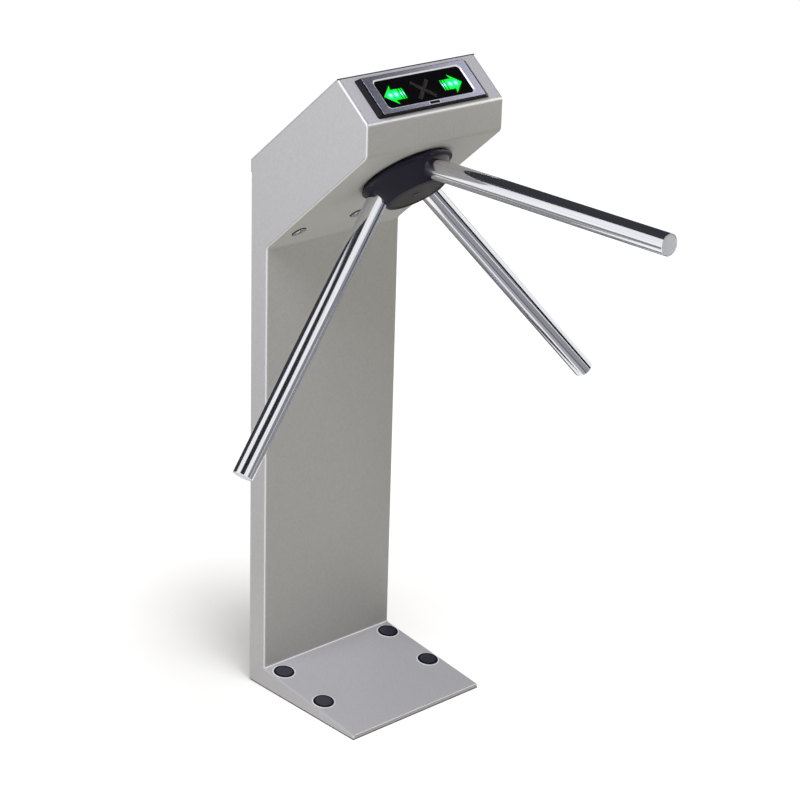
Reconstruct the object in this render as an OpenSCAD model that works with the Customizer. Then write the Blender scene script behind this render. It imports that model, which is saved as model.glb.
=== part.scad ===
// Waist-high tripod turnstile with three arms. Millimetres, +Z up.
// The origin is on the floor at the centre of the four anchor holes. The post's back faces +Y
// and the level arm reaches towards -Y. Side-view points are [forward of the post's back, up].

/* [Housing] */
// Height of the ridge above the floor
overall_h = 1050; // [950:5:1150]
// Width of the housing
housing_w = 272; // [268:2:310]
// How far the front of the head lies forward of the post's back
head_depth = 260; // [256:1:268]
// How far the ridge lies forward of the post's back
ridge_forward = 193; // [188:1:197]
// How far the top of the back lies below the ridge
rear_drop = 161; // [157:1:163]
// How far the display face falls from the ridge
face_drop = 54; // [52:1:58]
// Height of the upright front of the head
front_h = 50; // [46:1:52]
// How far the line where the underside meets the post lies below the ridge
throat_drop = 295; // [293:1:300]
// Depth of the post
post_depth = 37; // [34:0.5:42]
// How far the front of the foot lies forward of the post's back
foot_depth = 260; // [245:1:290]
// Height of the foot where it meets the post
foot_back_h = 35; // [33:1:45]

/* [Sheet metal] */
// Thickness of the housing sheet
sheet_t = 2; // [1.5:0.25:2.5]
// Outside radius of the bends along the front edges
bend_r = 5; // [3.5:0.5:5.5]
// Width of the folded rails inside the open back
rail_w = 14; // [12:0.5:16]
// Thickness of the rear cover's sheet
cover_t = 1.8; // [1.5:0.1:2]
// Height of the rear cover's lip down the back
cover_lip_h = 22; // [16:1:30]

/* [Base] */
// Thickness of the base plate
base_t = 6; // [5:0.5:8]
// How far the base plate stands proud below the housing
base_proud = 1.5; // [0.5:0.25:2]
// Distance of the anchor holes from the housing's sides
anchor_side = 22; // [21:1:28]
// Distance between the anchor holes along the foot
anchor_pitch_y = 100; // [90:2:110]
// Distance of the rear anchor holes from the post's back
anchor_back = 62; // [58:1:68]
// Radius of the anchor holes
anchor_hole_r = 6.5; // [5.5:0.5:7]
// Radius of the anchor caps
anchor_cap_r = 17; // [15:0.5:18]

/* [Rotor] */
// Distance of the rotor's axis from the head's lower front bend, along the underside
hub_along = 84.5; // [83:0.5:90]
// Radius of each arm's tube
arm_r = 16; // [15:0.25:17]
// Wall thickness of each arm's tube
arm_wall = 1.5; // [1:0.25:2.5]
// Length of each arm from the point where their axes meet to the tip
arm_reach = 539; // [450:1:560]
// How far inside the underside the arms' axes meet
apex_depth = 24; // [23:0.25:25]
// Radius of the hub's flange
hub_r = 74; // [73:0.5:76]
// Radius of the hub's front face
hub_face_r = 49.5; // [48.5:0.25:51]
// How far the hub's front face stands out from the underside
hub_h = 40; // [39:0.5:42]
// Running gap between the hub's flange and the underside
hub_gap = 4; // [3:0.25:5]
// Radius of the rotor shaft
shaft_r = 15; // [14:0.25:15.5]
// Teeth of the damper gear on the shaft
gear_teeth = 60; // [60:6:66]
// Teeth of the damper's pinion
pinion_teeth = 20; // [20]

/* [Display] */
// Width of the display's base
display_w = 220; // [212:1:226]
// Height of the display's base along the sloped face
display_h = 71; // [69:0.5:74]
// Width of the window's clear area
window_w = 166; // [160:1:168]
// Height of the window's clear area
window_h = 48; // [46:0.5:49]
// Distance of the display's centre from the ridge, down the face
display_down = 44.5; // [43:0.25:46]

/* [Locks] */
// Radius of the lock heads on the underside
lock_head_r = 12; // [11.5:0.25:14]
// Distance of the cover lock from the housing's side
cover_lock_side = 35; // [33:1:38]
// Distance of the cover lock from the head's lower front bend, along the underside
cover_lock_along = 248.5; // [244:0.5:252]
// Distance of the release lock from the head's lower front bend, along the underside
release_lock_along = 225; // [220:0.5:230]

/* [Hidden] */
$fn = 64;

// Colours as they look in daylight
paint_grey = [0.70, 0.70, 0.68];
paint_cover = [0.68, 0.68, 0.67];
steel_plate = [0.55, 0.56, 0.57];
zinc = [0.72, 0.73, 0.75];
polished = [0.85, 0.86, 0.88];
cast_grey = [0.62, 0.63, 0.65];
black_plastic = [0.08, 0.08, 0.09];
hub_dark = [0.14, 0.13, 0.17];
hub_disc = [0.30, 0.29, 0.28];
plug_pale = [0.78, 0.81, 0.85];
board_green = [0.10, 0.35, 0.20];
coil_black = [0.16, 0.16, 0.17];
brass = [0.75, 0.62, 0.32];
lit_green = [0.10, 0.85, 0.35];

// Clearances
over = 1;              // cuts run past a surface by this much
moving_gap = 0.3;      // between faces of pieces that move past each other
running_gap = 0.06;    // radial, shaft in a bore
seat_gap = 0.05;       // radial, a fixed piece in its seat
thread_gap = 0.1;      // radial, screw in its hole
drop_gap = 0.3;        // round an inset panel

// Vectors in the side view
function unit(v) = v / norm(v);
function inward(a, b) = unit([(b - a)[1], -(b - a)[0]]);
function mitre(a, p, b, dist) =
    let (m = inward(a, p), n = inward(p, b)) p + dist * (m + n) / (1 + m * n);
function along_to(p, dir, n, dist) = p + dir * dist / (dir * n);
function bend_curve(a, b, c, steps) =
    [for (i = [0 : steps]) let (t = i / steps) a * (1 - t) * (1 - t) + b * 2 * t * (1 - t) + c * t * t];

// Side view of the housing
foot_front_h = base_t + sheet_t;
back_top = [0, overall_h - rear_drop];
ridge = [ridge_forward, overall_h];
front_top = [head_depth, overall_h - face_drop];
front_low = [head_depth, overall_h - face_drop - front_h];
throat = [post_depth, overall_h - throat_drop];
foot_back = [post_depth, foot_back_h];
foot_tip = [foot_depth, foot_front_h];

slope_angle = atan2(rear_drop, ridge_forward);
slope_len = norm(ridge - back_top);
face_angle = atan2(face_drop, head_depth - ridge_forward);
underside_angle = atan2((front_low - throat)[1], (front_low - throat)[0]);
foot_angle = atan2(foot_back_h - foot_front_h, foot_depth - post_depth);
slope_in = inward(back_top, ridge);
face_run = unit(front_top - ridge);
slope_run = unit(ridge - back_top);

back_y = anchor_back + anchor_pitch_y / 2;
anchor_pitch_x = housing_w - 2 * anchor_side;
cover_lock_x = housing_w / 2 - cover_lock_side;
cover_seat = cover_t + moving_gap;
seat_ridge = along_to(ridge, face_run, slope_in, cover_seat);
seat_back = [0, back_top[1] - cover_seat / cos(slope_angle)];

shell_points = [[0, base_proud], seat_back, seat_ridge, front_top, front_low, throat, foot_back,
                foot_tip, [foot_depth, base_proud]];
function room_points(wall) = [
    [-over, -over], [-over, overall_h + over],
    seat_ridge + inward(ridge, front_top) * wall - face_run * rail_w,
    mitre(ridge, front_top, front_low, wall), mitre(front_top, front_low, throat, wall),
    mitre(front_low, throat, foot_back, wall), mitre(throat, foot_back, foot_tip, wall),
    mitre(foot_back, foot_tip, [foot_depth, 0], wall), [foot_depth - wall, -over]];
inner_half_w = housing_w / 2 - sheet_t;
corner_step = bend_r - sheet_t;
bend_facets = 4;

// Head: the rotor's frame lies on the underside, its Z pointing into the head
arm_tilt = 90 - underside_angle;
hub_point = front_low + unit(throat - front_low) * hub_along;
cover_lock_v = cover_lock_along - hub_along;
release_lock_v = release_lock_along - hub_along;

// Hub
hub_flange_t = 4;
hub_lap = 4;
hub_drum_gap = 4;
hub_opening_r = hub_r - hub_lap;
hub_drum_r = hub_opening_r - hub_drum_gap;
hub_back_w = 8;
hub_shoulder_r = 66;
hub_shoulder_w = 12;
hub_rim_t = 6.3;
hub_cap_depth = 3;
hub_cap_t = 2.4;
hub_pocket_r = 38;
hub_pocket_depth = 9;
hub_edge_r = 1.5;
hub_bolt_r = 3;
hub_bolt_circle_r = 26;
hub_bolt_head_r = 5;
hub_bolt_head_t = 5;
spigot_r = 12;
spigot_len = 20;
cap_screw_r = 2.5;
cap_screw_head_r = 4.6;
cap_screw_head_t = 1.3;
cap_screw_len = 22;
arm_start = 44;
arm_plug_t = 12;
arm_screw_r = 4;
arm_screw_len = 7;
arm_screw_along = 58.6;

// Shaft stack, heights into the head from the underside
shaft_flange_r = 36;
shaft_flange_t = 6;
carrier_lip = 1;
carrier_start = hub_back_w + shaft_flange_t + carrier_lip;
bearing_w = 16;
bearing_r = 31;
ring_t = 5;
ball_r = 4.4;
ball_count = 9;
carrier_r = 42;
carrier_len = 47;
carrier_flange_r = 60;
carrier_flange_t = 6;
carrier_screw_r = 3;
carrier_screw_circle_r = 51;
carrier_screw_head_r = 5;
carrier_screw_head_t = 5;
shaft_shoulder_r = 20;
front_bearing_w = carrier_start + carrier_lip;
rear_bearing_w = carrier_start + carrier_len - bearing_w;
plate_w = 20;
plate_t = 4;
plate_top = plate_w + plate_t;
wheel_boss_t = 5;
wheel_t = 8;
wheel_r = 52;
wheel_w = rear_bearing_w + bearing_w + wheel_boss_t;
notch_count = 12;
notch_depth = 8;
notch_w = 9;
gear_boss_t = 2;
gear_t = 6;
gear_w = wheel_w + wheel_t + gear_boss_t;
tooth_mod = 1.5;
pressure_angle = 20;
tooth_play = 0.15;
boss_r = 21;
disc_boss_r = 18;
disc_boss_t = 6;
disc_t = 1.5;
disc_r = 32;
disc_slot_count = 12;
disc_slot_len = 6;
disc_slot_w = 3;
disc_w = gear_w + gear_t + disc_boss_t;
nut_flat_r = 21;
nut_t = 7.5;
nut_w = disc_w + disc_t;
thread_past_nut = 2;
shaft_end = nut_w + nut_t + thread_past_nut;
socket_share = 0.6;     // flats of a hexagon socket as a share of its screw's radius

// Mechanism plate
plate_side = 12;
plate_half_w = housing_w / 2 - plate_side;
plate_v_top = -82;
plate_v_low = 100;
plate_corner = 14;
spacer_r = 7;
spacer_bolt_r = 4;
spacer_nut_r = 7.5;
spacer_nut_t = 6.5;
spacer_in = 12;
spacer_spots = [[plate_half_w - spacer_in, -68], [62, 90]];

// Locking pawls, drawn engaged and turned back to rest
pawl_x = 60;
pawl_v = 45;
pawl_half_w = 6;
pawl_t = 6;
pawl_w = wheel_w + (wheel_t - pawl_t) / 2;
nose_half_w = 3.5;
notch_floor_gap = 1;
nose_in = notch_depth - notch_floor_gap;
nose_root_share = 1.3;
nose_tip_share = 0.8;
pawl_foot = 5;
pawl_tail = 35;
pawl_turn = 10.8;
pawl_pin_r = 4;
pawl_collar_r = 7;
pawl_eye_r = 8;
clip_t = 1.2;
clip_r = 6;
pin_past_clip = 1.5;
tail_pin_r = 2;
tail_slot_len = 3;
plunger_travel = pawl_tail * pawl_turn * PI / 180;

// Solenoids
solenoid_gap = 18;
solenoid_x = pawl_x + solenoid_gap;
solenoid_in = 2;
solenoid_len = plate_half_w - solenoid_in - solenoid_x;
solenoid_side = 28;
solenoid_frame_t = 2.5;
coil_gap = 0.6;
coil_r = solenoid_side / 2 - solenoid_frame_t - coil_gap;
plunger_r = 5;
plunger_stop = 20;
plunger_in = solenoid_len - plunger_stop;
plunger_fork = 13;
plunger_fork_h = 15;
fork_slot_gap = 1.5;
collar_stand_off = 1.7;
plunger_collar_r = 8.4;
plunger_collar_t = 2;
bore_gap = 0.9;
plunger_bore = plunger_in + plunger_travel + bore_gap;
bracket_t = 3;
bracket_foot = 10;
spring_turns = 4;
spring_r = 7.6;
spring_wire_r = 0.8;
solenoid_w = pawl_w + pawl_t / 2;

// Damper
damper_v = -(gear_teeth + pinion_teeth) * tooth_mod / 2;
damper_r = 22;
damper_t = 22;
damper_cap_r = 15;
damper_cap_t = 2;
damper_pin_r = 4;
damper_plate_t = 4;
gear_clear = 2;
damper_plate_w = gear_w + gear_t + gear_clear;
damper_plate_half = 48;
damper_plate_shift = 2;
damper_post_x = 40;
damper_post_r = 5;
pinion_boss_r = 7;

// Sensor board over the slotted disc
sensor_board_w = gear_w + gear_t + gear_clear;
sensor_board_t = 1.6;
sensor_half_w = 18;
sensor_nut_gap = 0.8;
sensor_near = nut_flat_r / cos(30) + sensor_nut_gap;
sensor_far = 60;
sensor_post_x = 12;
sensor_post_v = 55.5;
sensor_post_r = 3;
fork_half_w = 4.5;
fork_reach = 10;
fork_past_disc = 6;
fork_slot_gap_w = 1.2;
fork_slot_gap_v = 2;

// Control board over the locks
board_w = 46;
board_t = 1.6;
board_half_w = 84;
board_v_near = 106;
board_v_far = 182;
standoff_r = 3.5;
standoff_in = 6;

// Locks
lock_body_r = 10;
lock_len = 18;
lock_head_t = 1.6;
lock_nut_r = 14;
lock_nut_t = 4;
barrel_r = 6;
barrel_proud = 0.4;
key_slot_w = 1.4;
key_slot_h = 7;
key_slot_depth = 4;
cam_t = 3;
cam_len = 24;
cam_half_w = 6;
cam_hub_r = 8;
switch_half = 12;
switch_len = 20;
switch_pin_r = 4;

// Rear cover
strap_w = 16;
strap_t = 2;
strap_foot = 14;
strap_set_back = 5;
strap_leg_v = cover_lock_v - cam_len - strap_set_back;
cover_peg_r = 3;
cover_peg_len = 8;
cover_peg_share = [0.12, 0.85];

// Display, heights out from the sloped face
flange_t = 3;
tub_wall = 2;
tub_depth = 14;
tub_margin = [3, 2];
tub_half_w = window_w / 2 + tub_wall + tub_margin[0];
tub_half_h = window_h / 2 + tub_wall + tub_margin[1];
window_lap = 4;
window_t = 2;
bezel_margin = [9, 2];
bezel_w = display_w - 2 * bezel_margin[0];
bezel_h = display_h - 2 * bezel_margin[1];
bezel_t = 3.5;
corner_r = 8;
bezel_corner_r = 7;
mask_t = 1.5;
mark_t = 0.6;
board_in = 10;
tag_w = 18;
tag_h = 5;
tag_t = 0.5;
tag_corner_r = 1;
led_r = 2.5;
led_h = 5;
led_share = [0.4, 0.6];  // places of the lamps along an arrow
arrow_len = 40;
arrow_tip_x = 77;
arrow_half_h = 14;
cross_h = 34;
cross_w = 27;
cross_bar = 6.5;

// Foot
foot_cap_t = 1.8;
foot_cap_lip = 2;
foot_cap_round = 1.5;
foot_neck_r = anchor_cap_r - foot_cap_lip;
foot_neck_len = 5;
cable_hole_r = 12;
cable_hole_f = post_depth / 2;
grommet_wall = 3;
grommet_lip = 2;
grommet_lip_t = 2;
access_r = foot_neck_r + seat_gap;

// Placing
module side_view(width) {
    translate([0, back_y, 0]) rotate([90, 0, -90]) linear_extrude(width, center = true) children();
}
module on_side_point(p, angle) {
    translate([0, back_y - p[0], p[1]]) rotate([angle, 0, 0]) children();
}
module on_underside() { on_side_point(hub_point, -underside_angle) children(); }
module on_face() {
    on_side_point(ridge, face_angle) translate([0, -display_down, 0]) children();
}
module on_cover() { on_side_point(ridge, -slope_angle) children(); }
module on_arm(i) {
    on_underside() rotate([0, 0, i * 120]) translate([0, 0, apex_depth])
        rotate([180 - arm_tilt, 0, 0]) children();
}
module both_sides() {
    children();
    mirror([1, 0, 0]) children();
}
module up(h) { translate([0, 0, h]) children(); }
module ring(outer_r, inner_r, h) {
    difference() {
        cylinder(r = outer_r, h = h);
        up(-over) cylinder(r = inner_r, h = h + 2 * over);
    }
}
module hexagon(flat_r, h) { cylinder(r = flat_r / cos(30), h = h, $fn = 6); }
module round_plate(w, h, r, t) {
    linear_extrude(t) round_square(w, h, r);
}
module round_square(w, h, r) {
    square([w - 2 * r, h], center = true);
    square([w, h - 2 * r], center = true);
    for (x = [-1, 1], y = [-1, 1]) translate([x * (w / 2 - r), y * (h / 2 - r)]) circle(r);
}

// Folded sheet: the side view's front outline, drawn in where its edges bend round to the sides
function drawn_in(p, dist) = [for (i = [2 : 8])
    i == 2 ? along_to(p[2], -slope_run, inward(p[2], p[3]), dist)
    : i == 8 ? along_to(p[8], unit(p[0] - p[8]), inward(p[7], p[8]), dist)
    : mitre(p[i - 1], p[i], p[i + 1], dist)];
// The side view cut into head, post and foot
side_triangles = [[1, 2, 3], [1, 3, 4], [1, 4, 5], [0, 1, 5], [0, 5, 6], [0, 6, 7], [0, 7, 8]];
module folded_solid(points, width, r) {
    bend = bend_curve([width / 2, r], [width / 2, 0], [width / 2 - r, 0], bend_facets);
    rings = concat([for (b = bend) [-b[0], b[1]]], [for (k = [bend_facets : -1 : 0]) bend[k]]);
    last = len(rings) - 1;
    corners = concat(
        [for (b = rings, p = drawn_in(points, b[1])) [b[0], back_y - p[0], p[1]]],
        [for (s = [-1, 1], i = [0, 1]) [s * width / 2, back_y - points[i][0], points[i][1]]]);
    n = 7 * len(rings);
    left = concat([n, n + 1], [for (i = [0 : 6]) i]);
    right = concat([n + 2, n + 3], [for (i = [0 : 6]) last * 7 + i]);
    left_end = [for (t = side_triangles) [left[t[0]], left[t[1]], left[t[2]]]];
    right_end = [for (t = side_triangles) [right[t[0]], right[t[2]], right[t[1]]]];
    slope = concat([n + 1, n + 3], [for (j = [last : -1 : 0]) j * 7]);
    bottom = concat([for (j = [0 : last]) j * 7 + 6], [n + 2, n]);
    walls = [for (j = [0 : last - 1], i = [0 : 5]) let (p = j * 7 + i) [p, p + 7, p + 8, p + 1]];
    polyhedron(corners, concat(left_end, right_end, [slope, bottom, [n, n + 2, n + 3, n + 1]], walls));
}
module rail_strip(a, b, width) {
    n = inward(a, b) * sheet_t;
    side_view(width) polygon([a, b, b + n, a + n]);
}
module housing_shell() {
    rail_x = inner_half_w - rail_w / 2;
    flange_low = [sheet_t, base_t];
    flange_high = [sheet_t, seat_back[1] - rail_w];
    base_f = foot_depth - bend_r;
    color(paint_grey) difference() {
        union() {
            difference() {
                folded_solid(shell_points, housing_w, bend_r);
                side_view(2 * (inner_half_w - corner_step)) polygon(room_points(sheet_t));
                side_view(2 * inner_half_w) polygon(room_points(bend_r));
                side_view(2 * inner_half_w)
                    polygon([[-over, -over], [base_f, -over], [base_f, base_t], [-over, base_t]]);
            }
            for (s = [-1, 1]) translate([s * rail_x, 0, 0]) {
                rail_strip(seat_back + slope_run * rail_w, seat_ridge - slope_run * bend_r, rail_w);
                rail_strip(flange_low, flange_high, rail_w);
            }
            rail_strip(seat_ridge - slope_run * rail_w, seat_ridge, 2 * (inner_half_w - corner_step));
        }
        on_underside() up(-over) {
            cylinder(r = hub_opening_r, h = sheet_t + 2 * over);
            translate([-cover_lock_x, cover_lock_v, 0])
                cylinder(r = lock_body_r + thread_gap, h = sheet_t + 2 * over);
            translate([0, release_lock_v, 0])
                cylinder(r = lock_body_r + thread_gap, h = sheet_t + 2 * over);
        }
        on_face() up(-sheet_t - over) round_plate(2 * (tub_half_w + drop_gap),
            2 * (tub_half_h + drop_gap), corner_r, sheet_t + 2 * over);
        at_anchor_caps() up(-sheet_t - over) cylinder(r = access_r, h = sheet_t + 2 * over);
        at_cover_pegs() cylinder(r = cover_peg_r + moving_gap, h = 4 * rail_w, center = true);
    }
}
module post_back_panel() {
    panel_top = seat_back[1] - over;
    color(paint_grey) side_view(2 * (inner_half_w - drop_gap))
        polygon([[0, base_t], [0, panel_top], [sheet_t, panel_top], [sheet_t, base_t]]);
}
module base_plate() {
    plate_f = foot_depth - sheet_t;
    bevel = 2 * corner_step + seat_gap;
    color(steel_plate) difference() {
        translate([0, back_y, 0]) linear_extrude(base_t) polygon([[-inner_half_w, 0],
            [-inner_half_w, bevel - plate_f], [bevel - inner_half_w, -plate_f],
            [inner_half_w - bevel, -plate_f], [inner_half_w, bevel - plate_f], [inner_half_w, 0]]);
        at_anchors() up(-over) cylinder(r = anchor_hole_r, h = base_t + 2 * over);
        translate([0, back_y - cable_hole_f, -over]) cylinder(r = cable_hole_r, h = base_t + 2 * over);
    }
}
module at_anchors() {
    for (x = [-1, 1], y = [-1, 1])
        translate([x * anchor_pitch_x / 2, y * anchor_pitch_y / 2, 0]) children();
}
module at_anchor_caps() {
    for (x = [-1, 1], f = [anchor_back, anchor_back + anchor_pitch_y])
        translate([x * anchor_pitch_x / 2, 0, 0]) on_side_point(foot_back, foot_angle)
            translate([0, -(f - post_depth) / cos(foot_angle), 0]) children();
}
module anchor_caps() {
    color(black_plastic) at_anchor_caps() {
        rotate_extrude() polygon(concat([[0, 0], [anchor_cap_r, 0]],
            bend_curve([anchor_cap_r, foot_cap_t - foot_cap_round], [anchor_cap_r, foot_cap_t],
                       [anchor_cap_r - foot_cap_round, foot_cap_t], 4), [[0, foot_cap_t]]));
        up(-foot_neck_len) ring(foot_neck_r, foot_neck_r - tub_wall, foot_neck_len);
    }
}
module cable_grommet() {
    color(black_plastic) translate([0, back_y - cable_hole_f, base_proud]) {
        ring(cable_hole_r - seat_gap, cable_hole_r - grommet_wall, base_t - base_proud);
        up(base_t - base_proud) ring(cable_hole_r + grommet_lip, cable_hole_r - grommet_wall,
            grommet_lip_t);
    }
}

// Display on the sloped face
module display_base() {
    color(black_plastic) on_face() difference() {
        union() {
            round_plate(display_w, display_h, corner_r, flange_t);
            up(-tub_depth) round_plate(2 * tub_half_w, 2 * tub_half_h, corner_r, tub_depth);
        }
        up(-tub_depth + tub_wall) round_plate(2 * (tub_half_w - tub_wall),
            2 * (tub_half_h - tub_wall), corner_r - tub_wall, tub_depth + flange_t);
        up(-tub_depth - over) cylinder(r = cable_hole_r, h = 2 * tub_depth);
    }
}
module display_bezel() {
    color(cast_grey) on_face() up(flange_t) difference() {
        round_plate(bezel_w, bezel_h, bezel_corner_r, bezel_t);
        up(-over) round_plate(window_w, window_h, corner_r, bezel_t + 2 * over);
        up(-over) round_plate(window_w + 2 * (window_lap + drop_gap) , window_h
            + 2 * (window_lap + drop_gap), corner_r, window_t + over + seat_gap);
    }
}
module display_window() {
    color(black_plastic, 0.5) on_face() up(flange_t)
        round_plate(window_w + 2 * window_lap, window_h + 2 * window_lap, corner_r, window_t);
}
module indicator_mask() {
    color(black_plastic) on_face() up(-mask_t)
        round_plate(2 * (tub_half_w - tub_wall - seat_gap), 2 * (tub_half_h - tub_wall - seat_gap),
            corner_r - tub_wall, mask_t);
}
// Arrow pointing to +X with its tip at the origin: a barbed head, a block and two tail bars
head_share = [[0, 0], [-0.5, 1], [-0.35, 0.62], [-0.72, 0.62], [-0.72, -0.62], [-0.35, -0.62],
              [-0.5, -1]];
bar_share = [[-0.8, -0.86], [-0.93, -0.97]];
bar_h_share = 0.62;
module arrow() {
    linear_extrude(mark_t) {
        polygon([for (p = head_share) [p[0] * arrow_len, p[1] * arrow_half_h]]);
        for (b = bar_share) polygon([for (c = [[0, 1], [1, 1], [1, -1], [0, -1]])
            [b[c[0]] * arrow_len, c[1] * bar_h_share * arrow_half_h]]);
    }
}
module arrow_right() { color(lit_green) on_face() translate([arrow_tip_x, 0, 0]) arrow(); }
module arrow_left() { mirror([1, 0, 0]) arrow_right(); }
module cross_mark() {
    tilt = atan2(cross_w, cross_h);
    color(hub_disc) on_face() linear_extrude(mark_t) for (s = [-1, 1]) rotate([0, 0, s * tilt])
        square([cross_bar, cross_h / cos(tilt) - cross_bar], center = true);
}
module bezel_tag() {
    color(black_plastic) on_face() translate([0, -(window_h + bezel_h) / 4, flange_t + bezel_t])
        round_plate(tag_w, tag_h, tag_corner_r, tag_t);
}
module indicator_board() {
    board_half = tub_half_w - tub_wall - drop_gap;
    board_half_h = tub_half_h - tub_wall - drop_gap;
    leg = tub_depth - tub_wall - board_in;
    color(board_green) on_face() {
        up(-board_in) round_plate(2 * board_half, 2 * board_half_h, corner_r - tub_wall, board_t);
        for (x = [-1, 1], y = [-1, 1]) translate([x * (board_half - corner_r),
            y * (board_half_h - corner_r), -board_in - leg]) cylinder(r = led_r, h = leg);
        for (s = [-1, 1], k = led_share)
            translate([s * (arrow_tip_x - k * arrow_len), 0, board_t - board_in])
                cylinder(r = led_r, h = led_h);
    }
}

// Hub and arms
function hub_outline() = concat(
    [[0, hub_back_w], [hub_drum_r, hub_back_w], [hub_drum_r, -hub_gap], [hub_r - hub_edge_r, -hub_gap]],
    bend_curve([hub_r - hub_edge_r, -hub_gap], [hub_r, -hub_gap], [hub_r, -hub_gap - hub_edge_r], 4),
    bend_curve([hub_r, -hub_gap - hub_flange_t + hub_edge_r], [hub_r, -hub_gap - hub_flange_t],
               [hub_r - hub_edge_r, -hub_gap - hub_flange_t], 4),
    bend_curve([hub_r - 2 * hub_edge_r, -hub_gap - hub_flange_t],
               [hub_shoulder_r + hub_edge_r, -hub_gap - hub_flange_t],
               [hub_shoulder_r, -hub_shoulder_w], 5),
    bend_curve([hub_face_r + hub_edge_r, -hub_h + hub_edge_r * 2], [hub_face_r, -hub_h],
               [hub_face_r - hub_edge_r, -hub_h], 5),
    [[hub_face_r - hub_rim_t, -hub_h], [hub_face_r - hub_rim_t, -hub_h + hub_cap_depth],
     [hub_pocket_r, -hub_h + hub_cap_depth], [hub_pocket_r, -hub_h + hub_pocket_depth],
     [0, -hub_h + hub_pocket_depth]]);
module at_hub_bolts() {
    on_underside() for (i = [0 : 2]) rotate([0, 0, 60 + i * 120 - 90])
        translate([hub_bolt_circle_r, 0, 0]) children();
}
module at_arm_screw(i) {
    on_arm(i) up(arm_screw_along) rotate([90, 0, 0]) children();
}
module hub_body() {
    color(hub_dark) difference() {
        on_underside() rotate_extrude() polygon(hub_outline());
        on_underside() {
            up(hub_back_w - spigot_len) cylinder(r = spigot_r + seat_gap, h = spigot_len + over);
            up(-hub_h) cylinder(r = cap_screw_r + thread_gap, h = hub_h);
        }
        for (i = [0 : 2]) {
            on_arm(i) up(arm_start) cylinder(r = arm_r + seat_gap, h = arm_reach);
            at_arm_screw(i) cylinder(r = arm_screw_r + thread_gap, h = 2 * arm_r);
        }
        at_hub_bolts() up(-hub_h) cylinder(r = hub_bolt_r + thread_gap, h = 2 * hub_h);
    }
}
module hub_cap() {
    cap_r = hub_face_r - hub_rim_t - drop_gap;
    color(hub_disc) on_underside() difference() {
        up(-hub_h + hub_cap_depth - hub_cap_t) {
            cylinder(r = cap_r, h = hub_cap_t);
        }
        up(-hub_h - over) cylinder(r = cap_screw_r + thread_gap, h = hub_cap_depth + 2 * over);
    }
}
module hub_cap_screw() {
    head_low = -hub_h + hub_cap_depth - hub_cap_t - cap_screw_head_t;
    color(zinc) on_underside() difference() {
        union() {
            up(head_low) cylinder(r = cap_screw_head_r, h = cap_screw_head_t);
            up(head_low) cylinder(r = cap_screw_r, h = cap_screw_len + cap_screw_head_t);
        }
        up(head_low - over) hexagon(cap_screw_r * socket_share, over + cap_screw_head_t);
    }
}
module hub_bolts() {
    head_w = -hub_h + hub_pocket_depth - hub_bolt_head_t;
    color(zinc) at_hub_bolts() difference() {
        union() {
            up(head_w) cylinder(r = hub_bolt_head_r, h = hub_bolt_head_t);
            up(head_w) cylinder(r = hub_bolt_r, h = hub_back_w + shaft_flange_t - head_w);
        }
        up(head_w - over) hexagon(hub_bolt_r * socket_share, over + hub_bolt_head_t / 2);
    }
}
module arm(i) {
    color(polished) difference() {
        on_arm(i) up(arm_start) ring(arm_r, arm_r - arm_wall, arm_reach - arm_start);
        at_arm_screw(i) cylinder(r = arm_screw_r + thread_gap, h = 2 * arm_r);
    }
}
module arm_front() { arm(0); }
module arm_right() { arm(1); }
module arm_left() { arm(2); }
module arm_plugs() {
    color(plug_pale) for (i = [0 : 2]) on_arm(i) up(arm_reach - arm_plug_t)
        cylinder(r = arm_r - arm_wall - seat_gap, h = arm_plug_t);
}
module arm_screws() {
    color(zinc) for (i = [0 : 2]) at_arm_screw(i) up(arm_r - arm_wall) difference() {
        cylinder(r = arm_screw_r, h = arm_screw_len);
        up(arm_screw_len / 2) hexagon(arm_screw_r * socket_share, arm_screw_len);
    }
}

// Shaft, bearings and what turns with the shaft
module main_shaft() {
    color(cast_grey) on_underside() difference() {
        union() {
            up(hub_back_w - spigot_len + over) cylinder(r = spigot_r, h = spigot_len);
            up(hub_back_w) cylinder(r = shaft_flange_r, h = shaft_flange_t);
            up(hub_back_w) cylinder(r = shaft_shoulder_r, h = front_bearing_w - hub_back_w);
            up(hub_back_w) cylinder(r = shaft_r, h = shaft_end - hub_back_w);
        }
        up(-hub_h) cylinder(r = cap_screw_r + thread_gap, h = hub_h + hub_back_w);
        for (i = [0 : 2]) rotate([0, 0, 60 + i * 120 - 90]) translate([hub_bolt_circle_r, 0, 0])
            up(-hub_h) cylinder(r = hub_bolt_r + thread_gap, h = 2 * hub_h);
    }
}
module at_bearings() {
    on_underside() for (w = [front_bearing_w, rear_bearing_w]) up(w) children();
}
module ball_groove(gap) {
    up(bearing_w / 2) rotate_extrude() translate([ball_track_r, 0]) circle(ball_r + gap);
}
inner_ring_r = shaft_r + ring_t;
ball_track_r = (inner_ring_r + bearing_r - ring_t) / 2;
module bearing_outer_rings() {
    color(polished) at_bearings() difference() {
        ring(bearing_r, bearing_r - ring_t, bearing_w);
        ball_groove(moving_gap);
    }
}
module bearing_inner_rings() {
    color(polished) {
        at_bearings() difference() {
            ring(inner_ring_r, shaft_r + seat_gap, bearing_w);
            ball_groove(moving_gap);
        }
        on_underside() up(front_bearing_w + bearing_w)
            ring(shaft_r + ring_t / 2, shaft_r + seat_gap, rear_bearing_w - front_bearing_w - bearing_w);
    }
}
module bearing_balls() {
    color(polished) at_bearings() for (i = [0 : ball_count - 1]) rotate([0, 0, i * 360 / ball_count])
        translate([ball_track_r, 0, bearing_w / 2]) sphere(ball_r);
}
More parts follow.
